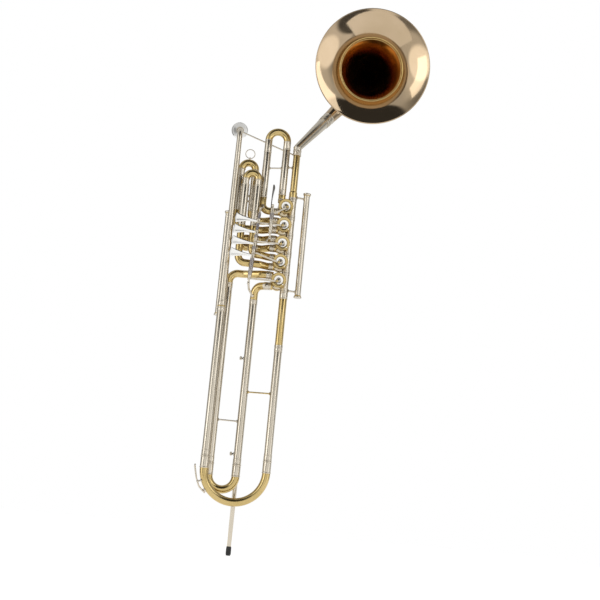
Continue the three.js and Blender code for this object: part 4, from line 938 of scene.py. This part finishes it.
def first_slide():
    crown = rising_slide("first", 33, 55)[3]
    screw("first_stop_screw", vec(-56, 8.2, 135), FRONT, 1.7, 1.2, "first_slide_tubes")
    hole = vec(-40, 17, crown + 11.1)
    torus("pull_ring", hole + vec(0, 0, 11), BACK, 11, 1, "pull_ring")
    torus("pull_ring_eye", hole, vec(1, 0, 0), 2.7, 1, "first_slide", around=32, section=12)
    rod("pull_ring_eye_foot", hole - vec(0, 0, 2.9), vec(-40, 17, crown + 7.5), 2.2, "first_slide", sides=20)


def second_slide():
    node, y = "second_slide_tubes", 20
    for side in (-1, 1):
        z = side * 11
        path = route([vec(PORT_X, 0, z), vec(27.7, 0, z), vec(9.7, y, z), vec(-12, y, z)], 10)
        end = length(path)
        sweep(f"second_tube_{side}", path, VALVE_R, [(0.0, VALVE_BORE_R), (end - 17, VALVE_BORE_R),
                                                     (end - 17, VALVE_R - WALL), (end, VALVE_R - WALL)],
              node, BRASS, replace=side == -1)
        ring(f"second_tube_ring_{side}", path, end - 12, end, VALVE_R, VALVE_R + 0.6, node, grooves=2)
        ring(f"second_port_ring_{side}", path, 0.0, 5, VALVE_R, VALVE_R + 0.6, node, grooves=1)
    rod("second_cross_brace", vec(-4, y, -2.6), vec(-4, y, 2.6), 1.9, node)
    corners = [vec(4, y, -11), vec(-39, y, -11), vec(-39, y, 11), vec(4, y, 11)]
    tuning_slide("second_slide", corners, 11, [26, 26])


def fourth_tube(name, node, corners, bends, joint_z):
    """A tube of the long loop: nickel silver below joint_z, a brass elbow to the valve above."""
    path = route(corners, bends)
    end = length(path)
    joint = joint_z - corners[0].z
    slim = MAIN_R - 0.1
    sweep(node, path, MAIN_R, MAIN_R - WALL, node, end=joint)
    sweep(f"{name}_elbow", path, slim, MAIN_BORE_R, node, BRASS, start=joint - 2)
    ring(f"{name}_joint", path, joint - 10, joint, MAIN_R, MAIN_R + 0.5, node, grooves=1)
    bead(f"{name}_joint_bead", path, joint - 1, joint + 1.6, MAIN_R, MAIN_R + 0.9, node)
    ring(f"{name}_port_ring", path, end - 9, end, slim, MAIN_R + 0.5, node, grooves=1)
    bead(f"{name}_end", path, 0.0, 2.8, MAIN_R, MAIN_R + 0.8, node)
    ring(f"{name}_end_sleeve", path, 0.3, 14, MAIN_R, MAIN_R + 0.45, node, grooves=1)


def fourth_tubes():
    y, bottom = 22, -513
    fourth_tube("loop_left", "fourth_outer_tube_left", [vec(-58, y, bottom), vec(-58, y, -75), vec(-26, y,
                                                                                                   -75),
                                                        vec(14, 0, -75), vec(PORT_X, 0, -75)], [20] * 3, -100)
    fourth_tube("loop_right", "fourth_outer_tube_right",
                [vec(3, y, bottom), vec(3, y, -101), vec(27.7, 0, -101), vec(PORT_X, 0, -101)], [18, 8], -135)
    brace("brace_lower", [vec(-49.2, y, -416.5), vec(-6.3, y, -416.5)], "fourth_outer_tube_left")
    along = (vec(70, 0, 0) - vec(3, y, 0)).normalized()
    brace("brace_upper", [vec(3, y, -348) + along * 9.3, vec(70, 0, -348) - along * 9.3], "brace_upper",
          BRASS)


# ---------- bell branch, stem and bell ----------

BRANCH_X = 69.5
BRANCH_TOP = 231
BELL_CORNER = vec(228, 121, 463)
BELL_MOUTH = vec(210, -160, 399)
STEM_FOOT = vec(BRANCH_X, 0, BRANCH_TOP + 8)
STEM_LENGTH = 120
RIM_R = 128
BEAD_R = 2.2
BELL_PATH = route([STEM_FOOT, BELL_CORNER, BELL_MOUTH], 75, 0.04)
BELL_LENGTH = length(BELL_PATH)
SEAM_DEPTH = 42


def flare(behind):
    """Inner radius of the bell and its stem at a distance behind the rim."""
    return RIM_R * (70 / (behind + 70)) ** 1.2 - 2.6 * behind / BELL_LENGTH


def bell_branch():
    node = "bell_branch"
    path = upright(BRANCH_X, 0, box(node)[0].z, BRANCH_TOP)
    end = length(path)
    sweep(node, path, BRANCH_R, BRANCH_R - WALL, node, BRASS)
    sweep("branch_foot", path, [(0.0, 9.5), (17, 9.5), (20, 8.4)], [(0.0, 8.2), (20, 8.2)], node, BRASS)
    ring("branch_foot_ring", path, 0.0, 5, 9.4, 10, node, grooves=1)
    ring("branch_collar", path, end - 12, end, BRANCH_R, 9.6, node, grooves=1)
    for k, place in enumerate((end - 12.5, end - 2.2)):
        bead(f"branch_collar_bead_{k}", path, place, place + 2.2, 9.4, 10.4, node)
    rod("lock_boss", vec(BRANCH_X, -9.2, 225), vec(BRANCH_X, -10.2, 225), 3.6, node)
    brace("branch_brace", [vec(BRANCH_X - 8.2, 0, 188), vec(52.4, 0, 188)], node)


def bell_stem():
    node = "bell_stem"
    tail = [p for p in BELL_PATH if p[2] < STEM_LENGTH]
    last = STEM_FOOT + (BELL_CORNER - STEM_FOOT).normalized() * STEM_LENGTH
    path = route([vec(BRANCH_X, 0, 201), STEM_FOOT, last if len(tail) < 3 else tail[-1][0]], 8, BOW_STEP)
    end = length(path)
    rise = end - STEM_LENGTH
    shoulder = 30.3
    wide = flare(BELL_LENGTH - STEM_LENGTH) + WALL
    narrow = flare(BELL_LENGTH) + WALL
    outer = [(0.0, 6.9), (shoulder, 6.9), (shoulder, 9.6), (shoulder + 6, 9.6),
             (shoulder + 9, narrow), (end, wide)]
    inner = [(0.0, 6.1), (shoulder, 6.1), (rise, narrow - 0.8), (end, wide - 0.8)]
    sweep(node, path, outer, inner, node, sides=48)
    bead("stem_collar_bead", path, shoulder + 5, shoulder + 7.4, 9.2, 10.2, node)
    ring("stem_end_band", path, end - 7, end - 0.1, wide - 0.2, wide + 0.6, node, grooves=1, sides=48)


def bell():
    """The flare, its throat lined darker and more orange as painted shade and warm bounced light, with a
    wired rim and two rings where the throat begins.
    """
    node = "bell"
    path = BELL_PATH
    start = STEM_LENGTH + 0.3
    seam = BELL_LENGTH - SEAM_DEPTH
    out = (BELL_MOUTH - BELL_CORNER).normalized()
    steps = 150
    stations = [start + (BELL_LENGTH - start) * (1 - (1 - k / steps) ** 1.5) for k in range(steps + 1)]
    inner = [(s, flare(BELL_LENGTH - s)) for s in stations]
    outer = [(s, r + 0.8) for s, r in inner]
    sweep(node, path, outer[:-1] + [(BELL_LENGTH - 0.4, RIM_R)], inner, node, BELL_BRASS, 128, ease=0)
    # Painted shade: a darker, more orange sheet just inside the throat, as far as the seam rings, stands in
    # for the shade and warm bounced light deep in the bell.
    painted_throat_shade = [(s, r - 0.03) for s, r in inner if s < seam]
    sweep("bell_throat_painted_shade", path, painted_throat_shade, [(s, r - 0.15) for s, r in painted_throat_shade], node, THROAT_PAINTED_SHADE, 128, ease=0)
    torus("bell_rim_bead", BELL_MOUTH - out * BEAD_R, out, RIM_R + 0.2, 2, node, BELL_BRASS, 160, 20)
    for depth, wire in ((SEAM_DEPTH, 1.5), (SEAM_DEPTH + 4, 1.1)):
        torus(f"bell_seam_ring_{depth}", BELL_MOUTH - out * depth, out, flare(depth), wire, node, BRASS, 128,
              14)
    tail = start + 16
    tail_r = flare(BELL_LENGTH - start)
    ring("bell_tail_band", path, start, tail, tail_r + 0.6, tail_r + 1.7, node, grooves=1, sides=64)
    bead("bell_tail_bead", path, tail - 1, tail + 1.6, tail_r + 0.9, tail_r + 2.2, node, sides=64)


def lock_screw():
    node = "bell_lock_screw"
    seat = vec(BRANCH_X, -10.3, 225)
    sweep(node, line(seat, seat + FRONT * 7), [(0.0, 1.8), (3.0, 1.8), (3.4, 2.6), (7.0, 2.8)], 0, node,
          sides=24)
    outline = [(-1.6, -1.4), (-3.4, -2.9), (-6.2, -3.0), (-7.5, -1.4), (-7.5, 1.4), (-6.2, 3.0), (-3.4, 2.9),
               (-1.6, 1.4), (1.6, 1.4), (3.4, 2.9), (6.2, 3.0), (7.5, 1.4), (7.5, -1.4), (6.2, -3.0),
               (3.4, -2.9), (1.6, -1.4)]
    angle = 0.6
    wings = axes_at(seat + FRONT * 7, vec(math.cos(angle), 0, -math.sin(angle)),
                    vec(math.sin(angle), 0, math.cos(angle)))
    plate("lock_screw_wings", outline, 1.8, wings, node, bevel=0.5)


# ---------- mouthpiece ----------

def mouthpiece():
    node = "mouthpiece"
    start = RECEIVER_END - MOUTH_AXIS * 24
    path = line(start, start + MOUTH_AXIS * 84)
    cup = rounded([(39, 6.2), (44, 7.0), (48, 8.8), (53, 11.6), (58, 14.4), (64, 16.8), (70, 17.7),
                   (76, 18.0)])
    outer = [(0.0, 4.6), (24.0, 5.1), (27.0, 5.2), (27.6, 5.9), (29.4, 5.9), (30.0, 5.4), (36.0, 5.7)] + cup
    outer += [(77.4, 19.2), (78.6, 20.2), (79.8, 20.4), (81.4, 20.4), (82.8, 20.0), (83.7, 18.9),
              (84.0, 17.2)]
    bowl = rounded([(82.6, 14.0), (80.5, 13.2), (75, 12.8), (70, 12.2), (64, 10.8), (58, 8.6), (54, 6.2),
                    (51, 3.8)])
    inner = [(0.0, 3.9), (44.0, 3.4)] + bowl[::-1] + [(83.7, 15.4)]
    sweep(node, path, outer, inner, node, SILVER, 64, ease=0.15)


# ---------- braces and grips ----------

def leadpipe_brace():
    brace("leadpipe_brace", [vec(-64.2, 12, 265.1), vec(59.5, 12, 225), vec(63.6, 7.9, 223.4)],
          "leadpipe_brace", radius=1.6)


def grip(node, centre, tube_x):
    """A capped tube for the hand, standing off the main tubes on two short braces."""
    x, y, z = centre
    half = 126
    path = upright(x, y, z - half, z + half)
    cap = [(0.0, 8.2), (0.6, 9.2), (2.0, 9.5), (3.4, 9.2), (4.4, 7.9), (7.0, 7.1)]
    end = 2.0 * half
    profile = cap + [(end - s, r) for s, r in cap[::-1]]
    sweep(node, path, profile, 0, node, sides=48, ease=0.2)
    for k, low in enumerate((4.6, end - 6.4)):
        bead(f"{node}_ring_{k}", path, low, low + 1.8, 7.2, 8.3, node, BRASS)
    for side in (-1, 1):
        foot = vec(x, y, z + side * (half - 14))
        out = vec(tube_x - foot.x, -foot.y, 0)
        far = out.length - (7.8 if tube_x < 0 < side else 9.3)
        along = out.normalized()
        brace(f"{node}_brace_{side}", [foot + along * 6.6, foot + along * far], node, radius=2.2)


# ---------- endpin ----------

ENDPIN = (5, 38)
LOOP_TUBE = (3, 22)


def clamp(node, z):
    """A guide for the endpin: a sleeve round it, a saddle on the slide tube and a threaded boss."""
    x, y = ENDPIN
    sweep(node, upright(x, y, z - 6, z + 6), 6.7, 5.4, node, sides=48)
    tube = arc(LOOP_TUBE, 9.1, math.radians(128), math.radians(52), 10)
    guide = arc(ENDPIN, 6.3, math.radians(-38), math.radians(-150), 10)
    outline = tube + [(10.4, 33.8)] + guide + [(-1.2, 34.4)]
    plate(f"{node}_saddle", outline, 11, Matrix.Translation(vec(0, 0, z)), node, bevel=0.4)
    sweep(f"{node}_boss", line(vec(x - 5.8, y, z), vec(x - 12, y, z)), 4.2, 2.3, node, sides=28)


def clamp_screw(node, z):
    x, y = ENDPIN
    start = x - 5.3
    rod(node, vec(start, y, z), vec(start - 11, y, z), 1.8, node, STEEL, 20)
    head = [(0.0, 3.2), (0.5, 4.0), (1.2, 4.1), (4.6, 4.1), (5.2, 3.6), (5.5, 2.6)]
    sweep(f"{node}_head", line(vec(start - 9, y, z), vec(start - 14.5, y, z)), head, 0, node, sides=32)
    knurl(f"{node}_knurl", vec(start - 10.4, y, z), vec(start - 13.4, y, z), 4.05, 0.35, 26, node)


def endpin():
    x, y = ENDPIN
    low, high = box("endpin_rod")
    end = high.z - low.z
    shape = [(0.0, 5.0), (end - 3.0, 5.0), (end - 1.0, 4.4), (end, 3.0)]
    sweep("endpin_rod", upright(x, y, low.z, high.z), shape, 0, "endpin_rod", sides=48)
    tip_low, tip_high = box("endpin_tip")
    path = upright(x, y, tip_low.z, tip_high.z)
    sweep("endpin_tip", path, [(0.0, 3.6), (0.8, 4.9), (3.0, 5.9), (14.0, 5.9), (16.0, 5.7), (20.0, 5.5)], 0,
          "endpin_tip", RUBBER, 48)
    for k in range(3):
        bead(f"endpin_tip_rib_{k}", path, 5 + 3 * k, 6.4 + 3 * k, 5.8, 6.15, "endpin_tip", RUBBER)


# ---------- levers, hinges and links ----------

HINGE_Y = -48.5
HINGE_TOP = (-5.5, 67)
HINGE_TILT = 0.057
HINGE_LENGTH = 174
HINGE_LEAN = math.atan(HINGE_TILT)
LEVERS = {1: (38, 39), 2: (12, -5), 3: (-15.5, -33), 4: (-43.5, -93)}
LINK_Y = -28.5
THUMB_PIN = (22, 67)


def hinge_x(z):
    return HINGE_TOP[0] - (HINGE_TOP[1] - z) * HINGE_TILT


def on_hinge(along, x=0.0, y=0.0):
    """A point in the levers' frame: along the hinge, sideways and back, in millimetres."""
    cos, sin = math.cos(HINGE_LEAN), math.sin(HINGE_LEAN)
    return vec(hinge_x(0) + cos * x + sin * along, HINGE_Y + y, cos * along - sin * x)


SIDEWAYS = vec(math.cos(HINGE_LEAN), 0, -math.sin(HINGE_LEAN))
UPWARDS = vec(math.sin(HINGE_LEAN), 0, math.cos(HINGE_LEAN))


def finial(name, place, along, radius, node):
    """A turned knob at the end of a hinge rod."""
    shape = [(0.0, 2.4), (0.6, 3.1), (1.6, 3.1), (2.2, 2.3), (3.0, 2.6), (4.2, radius), (5.6, radius),
             (6.9, 2.4), (7.5, 1.2)]
    sweep(name, line(place - along * 3, place + along * 4.5), shape, 0, node, sides=28)


def support(name, path, radius, foot, node):
    """An arm that carries a hinge and spreads to a foot."""
    end = length(path)
    spread = [(end - 4, radius), (end - 1.4, foot - 1.2), (end, foot)]
    sweep(name, path, [(0.0, radius)] + spread, 0, node, sides=24)


def sleeve(node, path, beads):
    """The tube of a lever that turns on its hinge rod."""
    sweep(node, path, 4, 2.4, node, sides=32)
    for k, start in enumerate(beads):
        bead(f"{node}_bead_{k}", path, start, start + 2, 3.9, 4.5, node, sides=32)


def hinge():
    node = "lever_hinge_rod"
    bottom_z = HINGE_TOP[1] - HINGE_LENGTH
    top, bottom = vec(HINGE_TOP[0], HINGE_Y, HINGE_TOP[1]), vec(hinge_x(bottom_z), HINGE_Y, bottom_z)
    rod(node, bottom, top, 2, node)
    finial("hinge_finial_top", top, UPWARDS, 3.3, node)
    finial("hinge_finial_bottom", bottom, -UPWARDS, 3.3, node)
    support("hinge_post_upper", route([top, vec(2, -22, 79), vec(0, -8.2, 85.7)], 10), 2.4, 4.6, node)
    support("hinge_post_lower", route([bottom, vec(-12, -10, -115), vec(-1.5, 12.4, -124.9)], 12), 2.4, 4.6,
            node)
    for k, (low, high, turns) in enumerate(((44.2, 58, 11), (17, 32.4, 12))):
        helix(f"hinge_spring_{k}", on_hinge(low), on_hinge(high), 3.1, 0.5, turns, node)


def crank(name, node, z, at, along, side):
    """The crank on a lever's sleeve and the pin that carries the link, z up the hinge."""
    foot = at(z - 3.1)
    edge = [(3.2, 0.0), (2.7, 12.0), (2.4, 20.0)]
    outline = [(-x, y) for x, y in edge] + arc((0, 20), 3.0, math.radians(172), math.radians(8),
                                               8) + edge[::-1]
    plate(f"{name}_crank", outline, 2.6, axes_at(foot, side, BACK), node)
    pin = foot + BACK * 20
    rod(f"{name}_pin", pin, pin + along * 5.6, 1.3, node, STEEL, 16)


def lever(n):
    node = f"lever_{n}"
    paddle_z, crank_height = LEVERS[n]
    crank_z = crank_height / math.cos(HINGE_LEAN)
    low, high = min(paddle_z - 4, crank_z - 5.6), max(paddle_z + 4, crank_z + 4)
    sleeve(node, line(on_hinge(low), on_hinge(high)), (0.1, high - low - 2.1))
    top, bottom = max(paddle_z, crank_z) - 6, min(paddle_z, crank_z) + 3
    if top - bottom > 8:
        helix(f"{node}_coil", on_hinge(bottom), on_hinge(top), 4.5, 0.45, (top - bottom) / 1.6, node)
    crank(node, node, crank_z, on_hinge, UPWARDS, SIDEWAYS)
    paddle(n, paddle_z)


PADDLE_LENGTH = 49
PADDLE_HALF = 11.5
PADDLE_NECK = 2.6


def paddle(n, z):
    """A finger paddle: concave sides that widen to a touch end, dished and rolled at the rim."""
    def place(face, t, v):
        half = PADDLE_NECK + (PADDLE_HALF - PADDLE_NECK) * t ** 1.9
        bulge = -2.4 * (1 - v * v) * max(0.0, (t - 0.93) / 0.07)
        dish = 0.9 * t * (1 - v * v) - 0.5 * math.sin(math.pi * t)
        height = face * 0.9 * (1 - 0.75 * abs(v) ** 6) * (1 - 0.6 * max(0.0, (t - 0.97) / 0.03))
        return on_hinge(z + v * half, -2.6 - PADDLE_LENGTH * t + bulge, dish + height)

    sheet(f"paddle_{n}", 28, 12, place, f"lever_{n}", SILVER)


def link(n, near, far):
    """A strap from a crank pin to the ball on a stop arm: an eye across at each end."""
    node = f"link_{n}"
    sweep(node, line(near - UP * 1.5, near + UP * 1.5), 3.8, 1.6, node, sides=32)
    sweep(f"{node}_eye", line(far + FRONT * 1.5, far - FRONT * 1.5), 3.8, 2.65, node, sides=32)
    bend, end = Vector((9.0, 0.0)), Vector((far.x - near.x, far.z - near.z))
    stop = end - (end - bend).normalized() * 3.2
    outline = strip([(3.2, 0.0), tuple(bend), tuple(stop)], 2.1)
    plate(f"{node}_strap", outline, 2.2, axes_at(near, vec(1, 0, 0), UP), node, bevel=0.5)


def links():
    drop = {4.5: 4.5 * (1 + math.sqrt(0.5)) / 2, 6.0: 6.0 * (1 + math.sqrt(0.5)) / 2 - 0.37}
    pins = {n: (hinge_x(z), z) for n, (_, z) in LEVERS.items()}
    for n, (x, z) in {**pins, 5: THUMB_PIN}.items():
        far = on_valve(n, math.cos(STOP_ANGLE[n]) * STOP_ARM[n], LINK_Y, -drop[STOP_ARM[n]])
        link(n, vec(x, LINK_Y, z), far)


THUMB = (22, -48.5, 40)


def on_thumb(along):
    return vec(THUMB[0], THUMB[1], THUMB[2] + along)


def thumb_lever():
    post, node = "thumb_lever_post", "thumb_lever"
    rod(post, on_thumb(-37), on_thumb(37), 2, post)
    finial("thumb_finial_top", on_thumb(37), UP, 3.1, post)
    finial("thumb_finial_bottom", on_thumb(-37), -UP, 3.1, post)
    path = route([on_thumb(-37), vec(20, -32.5, 3), vec(18, 0.6, 6.8)], 8)
    support("thumb_post_arm", path, 2.3, 4.4, post)
    sleeve(node, line(on_thumb(-28), on_thumb(32)), (0.1, 28.0, 57.9))
    helix("thumb_coil", on_thumb(4), on_thumb(20), 4.5, 0.45, 10, node)
    crank("thumb", node, 27, on_thumb, UP, vec(1, 0, 0))
    thumb_blade(node)


BLADE_CURL = 0.0116
BLADE_REACH = 31


def bezier(a, b, c, d, t):
    s = 1 - t
    return a * s ** 3 + 3 * b * s * s * t + 3 * c * s * t * t + d * t ** 3


def thumb_blade(node):
    """The curled blade the thumb pushes sideways: broad at the touch, narrow at the sleeve."""
    lower = [Vector(p) for p in ((0, 8), (10, 20), (22, 36), (38, 90))]
    upper = [Vector(p) for p in ((0, 26), (8, 38), (16, 54), (24, 92))]

    def place(face, t, v):
        point = bezier(*lower, t).lerp(bezier(*upper, t), (v + 1) / 2)
        rise = point.y + 6.0 * (1 - v * v) * max(0.0, (t - 0.9) / 0.1)
        thick = face * 1.0 * (1 - 0.7 * abs(v) ** 6)
        curl = BLADE_CURL * point.x * (point.x - BLADE_REACH)
        return on_thumb(rise) + vec(curl + thick, point.x, 0)

    sheet(f"{node}_blade", 36, 10, place, node, STEEL)


def sheet(name, along, across, place, node, material):
    """A thin sheet with two faces: place(face, t, v) is a point, t along it and v across it."""
    row = across + 1
    per = (along + 1) * row
    vertices = [place(face, i / along, 2 * j / across - 1)
                for face in (-1, 1) for i in range(along + 1) for j in range(row)]
    corners = [f * per + i * row + j for f in range(2) for i in range(along) for j in range(across)]
    faces = [[a, a + 1, a + row + 1, a + row] for a in corners]
    edge = [i * row for i in range(along + 1)] + [along * row + j for j in range(1, row)]
    edge += [i * row + across for i in range(along - 1, -1, -1)] + list(range(across - 1, 0, -1))
    faces += [[a, b, per + b, per + a] for a, b in zip(edge, edge[1:] + edge[:1])]
    finish_mesh(name, vertices, faces, node, material)


# ---------- the whole instrument ----------

add_camera()
add_floor()
add_world()
leadpipe()
outer_tube("main_outer_tube_left")
outer_tube("main_outer_tube_right")
inlet_tube()
water_key(*lower_slide("main_slide", LEFT_X, RIGHT_X, 0.0))
lower_slide("fourth_slide", LOOP_LEFT_X, LOOP_RIGHT_X, LOOP_Y)
for number in VALVES:
    casing(number)
    back_cap(number)
    rotor(number)
fifth_slide()
first_slide()
second_slide()
rising_slide("third", -55, -33)
fourth_tubes()
bell_branch()
bell_stem()
bell()
lock_screw()
mouthpiece()
leadpipe_brace()
grip("grip_right", (103, 5, 5), 70)
grip("grip_left", (-76, 40, -50), -70)
for place, height in (("upper", -270), ("lower", -490)):
    clamp(f"endpin_clamp_{place}", height)
    clamp_screw(f"clamp_screw_{place}", height)
endpin()
hinge()
for number in LEVERS:
    lever(number)
links()
thumb_lever()

area_light("key", (2.2, -2.6, 1.6), (0, 0, 0), (1.2, 2.2), 12)
area_light("fill", (-2.4, -2.0, 0.8), (0, 0, 0), (1.0, 2.4), 9)
bpy.context.scene.view_settings.view_transform = "Standard"
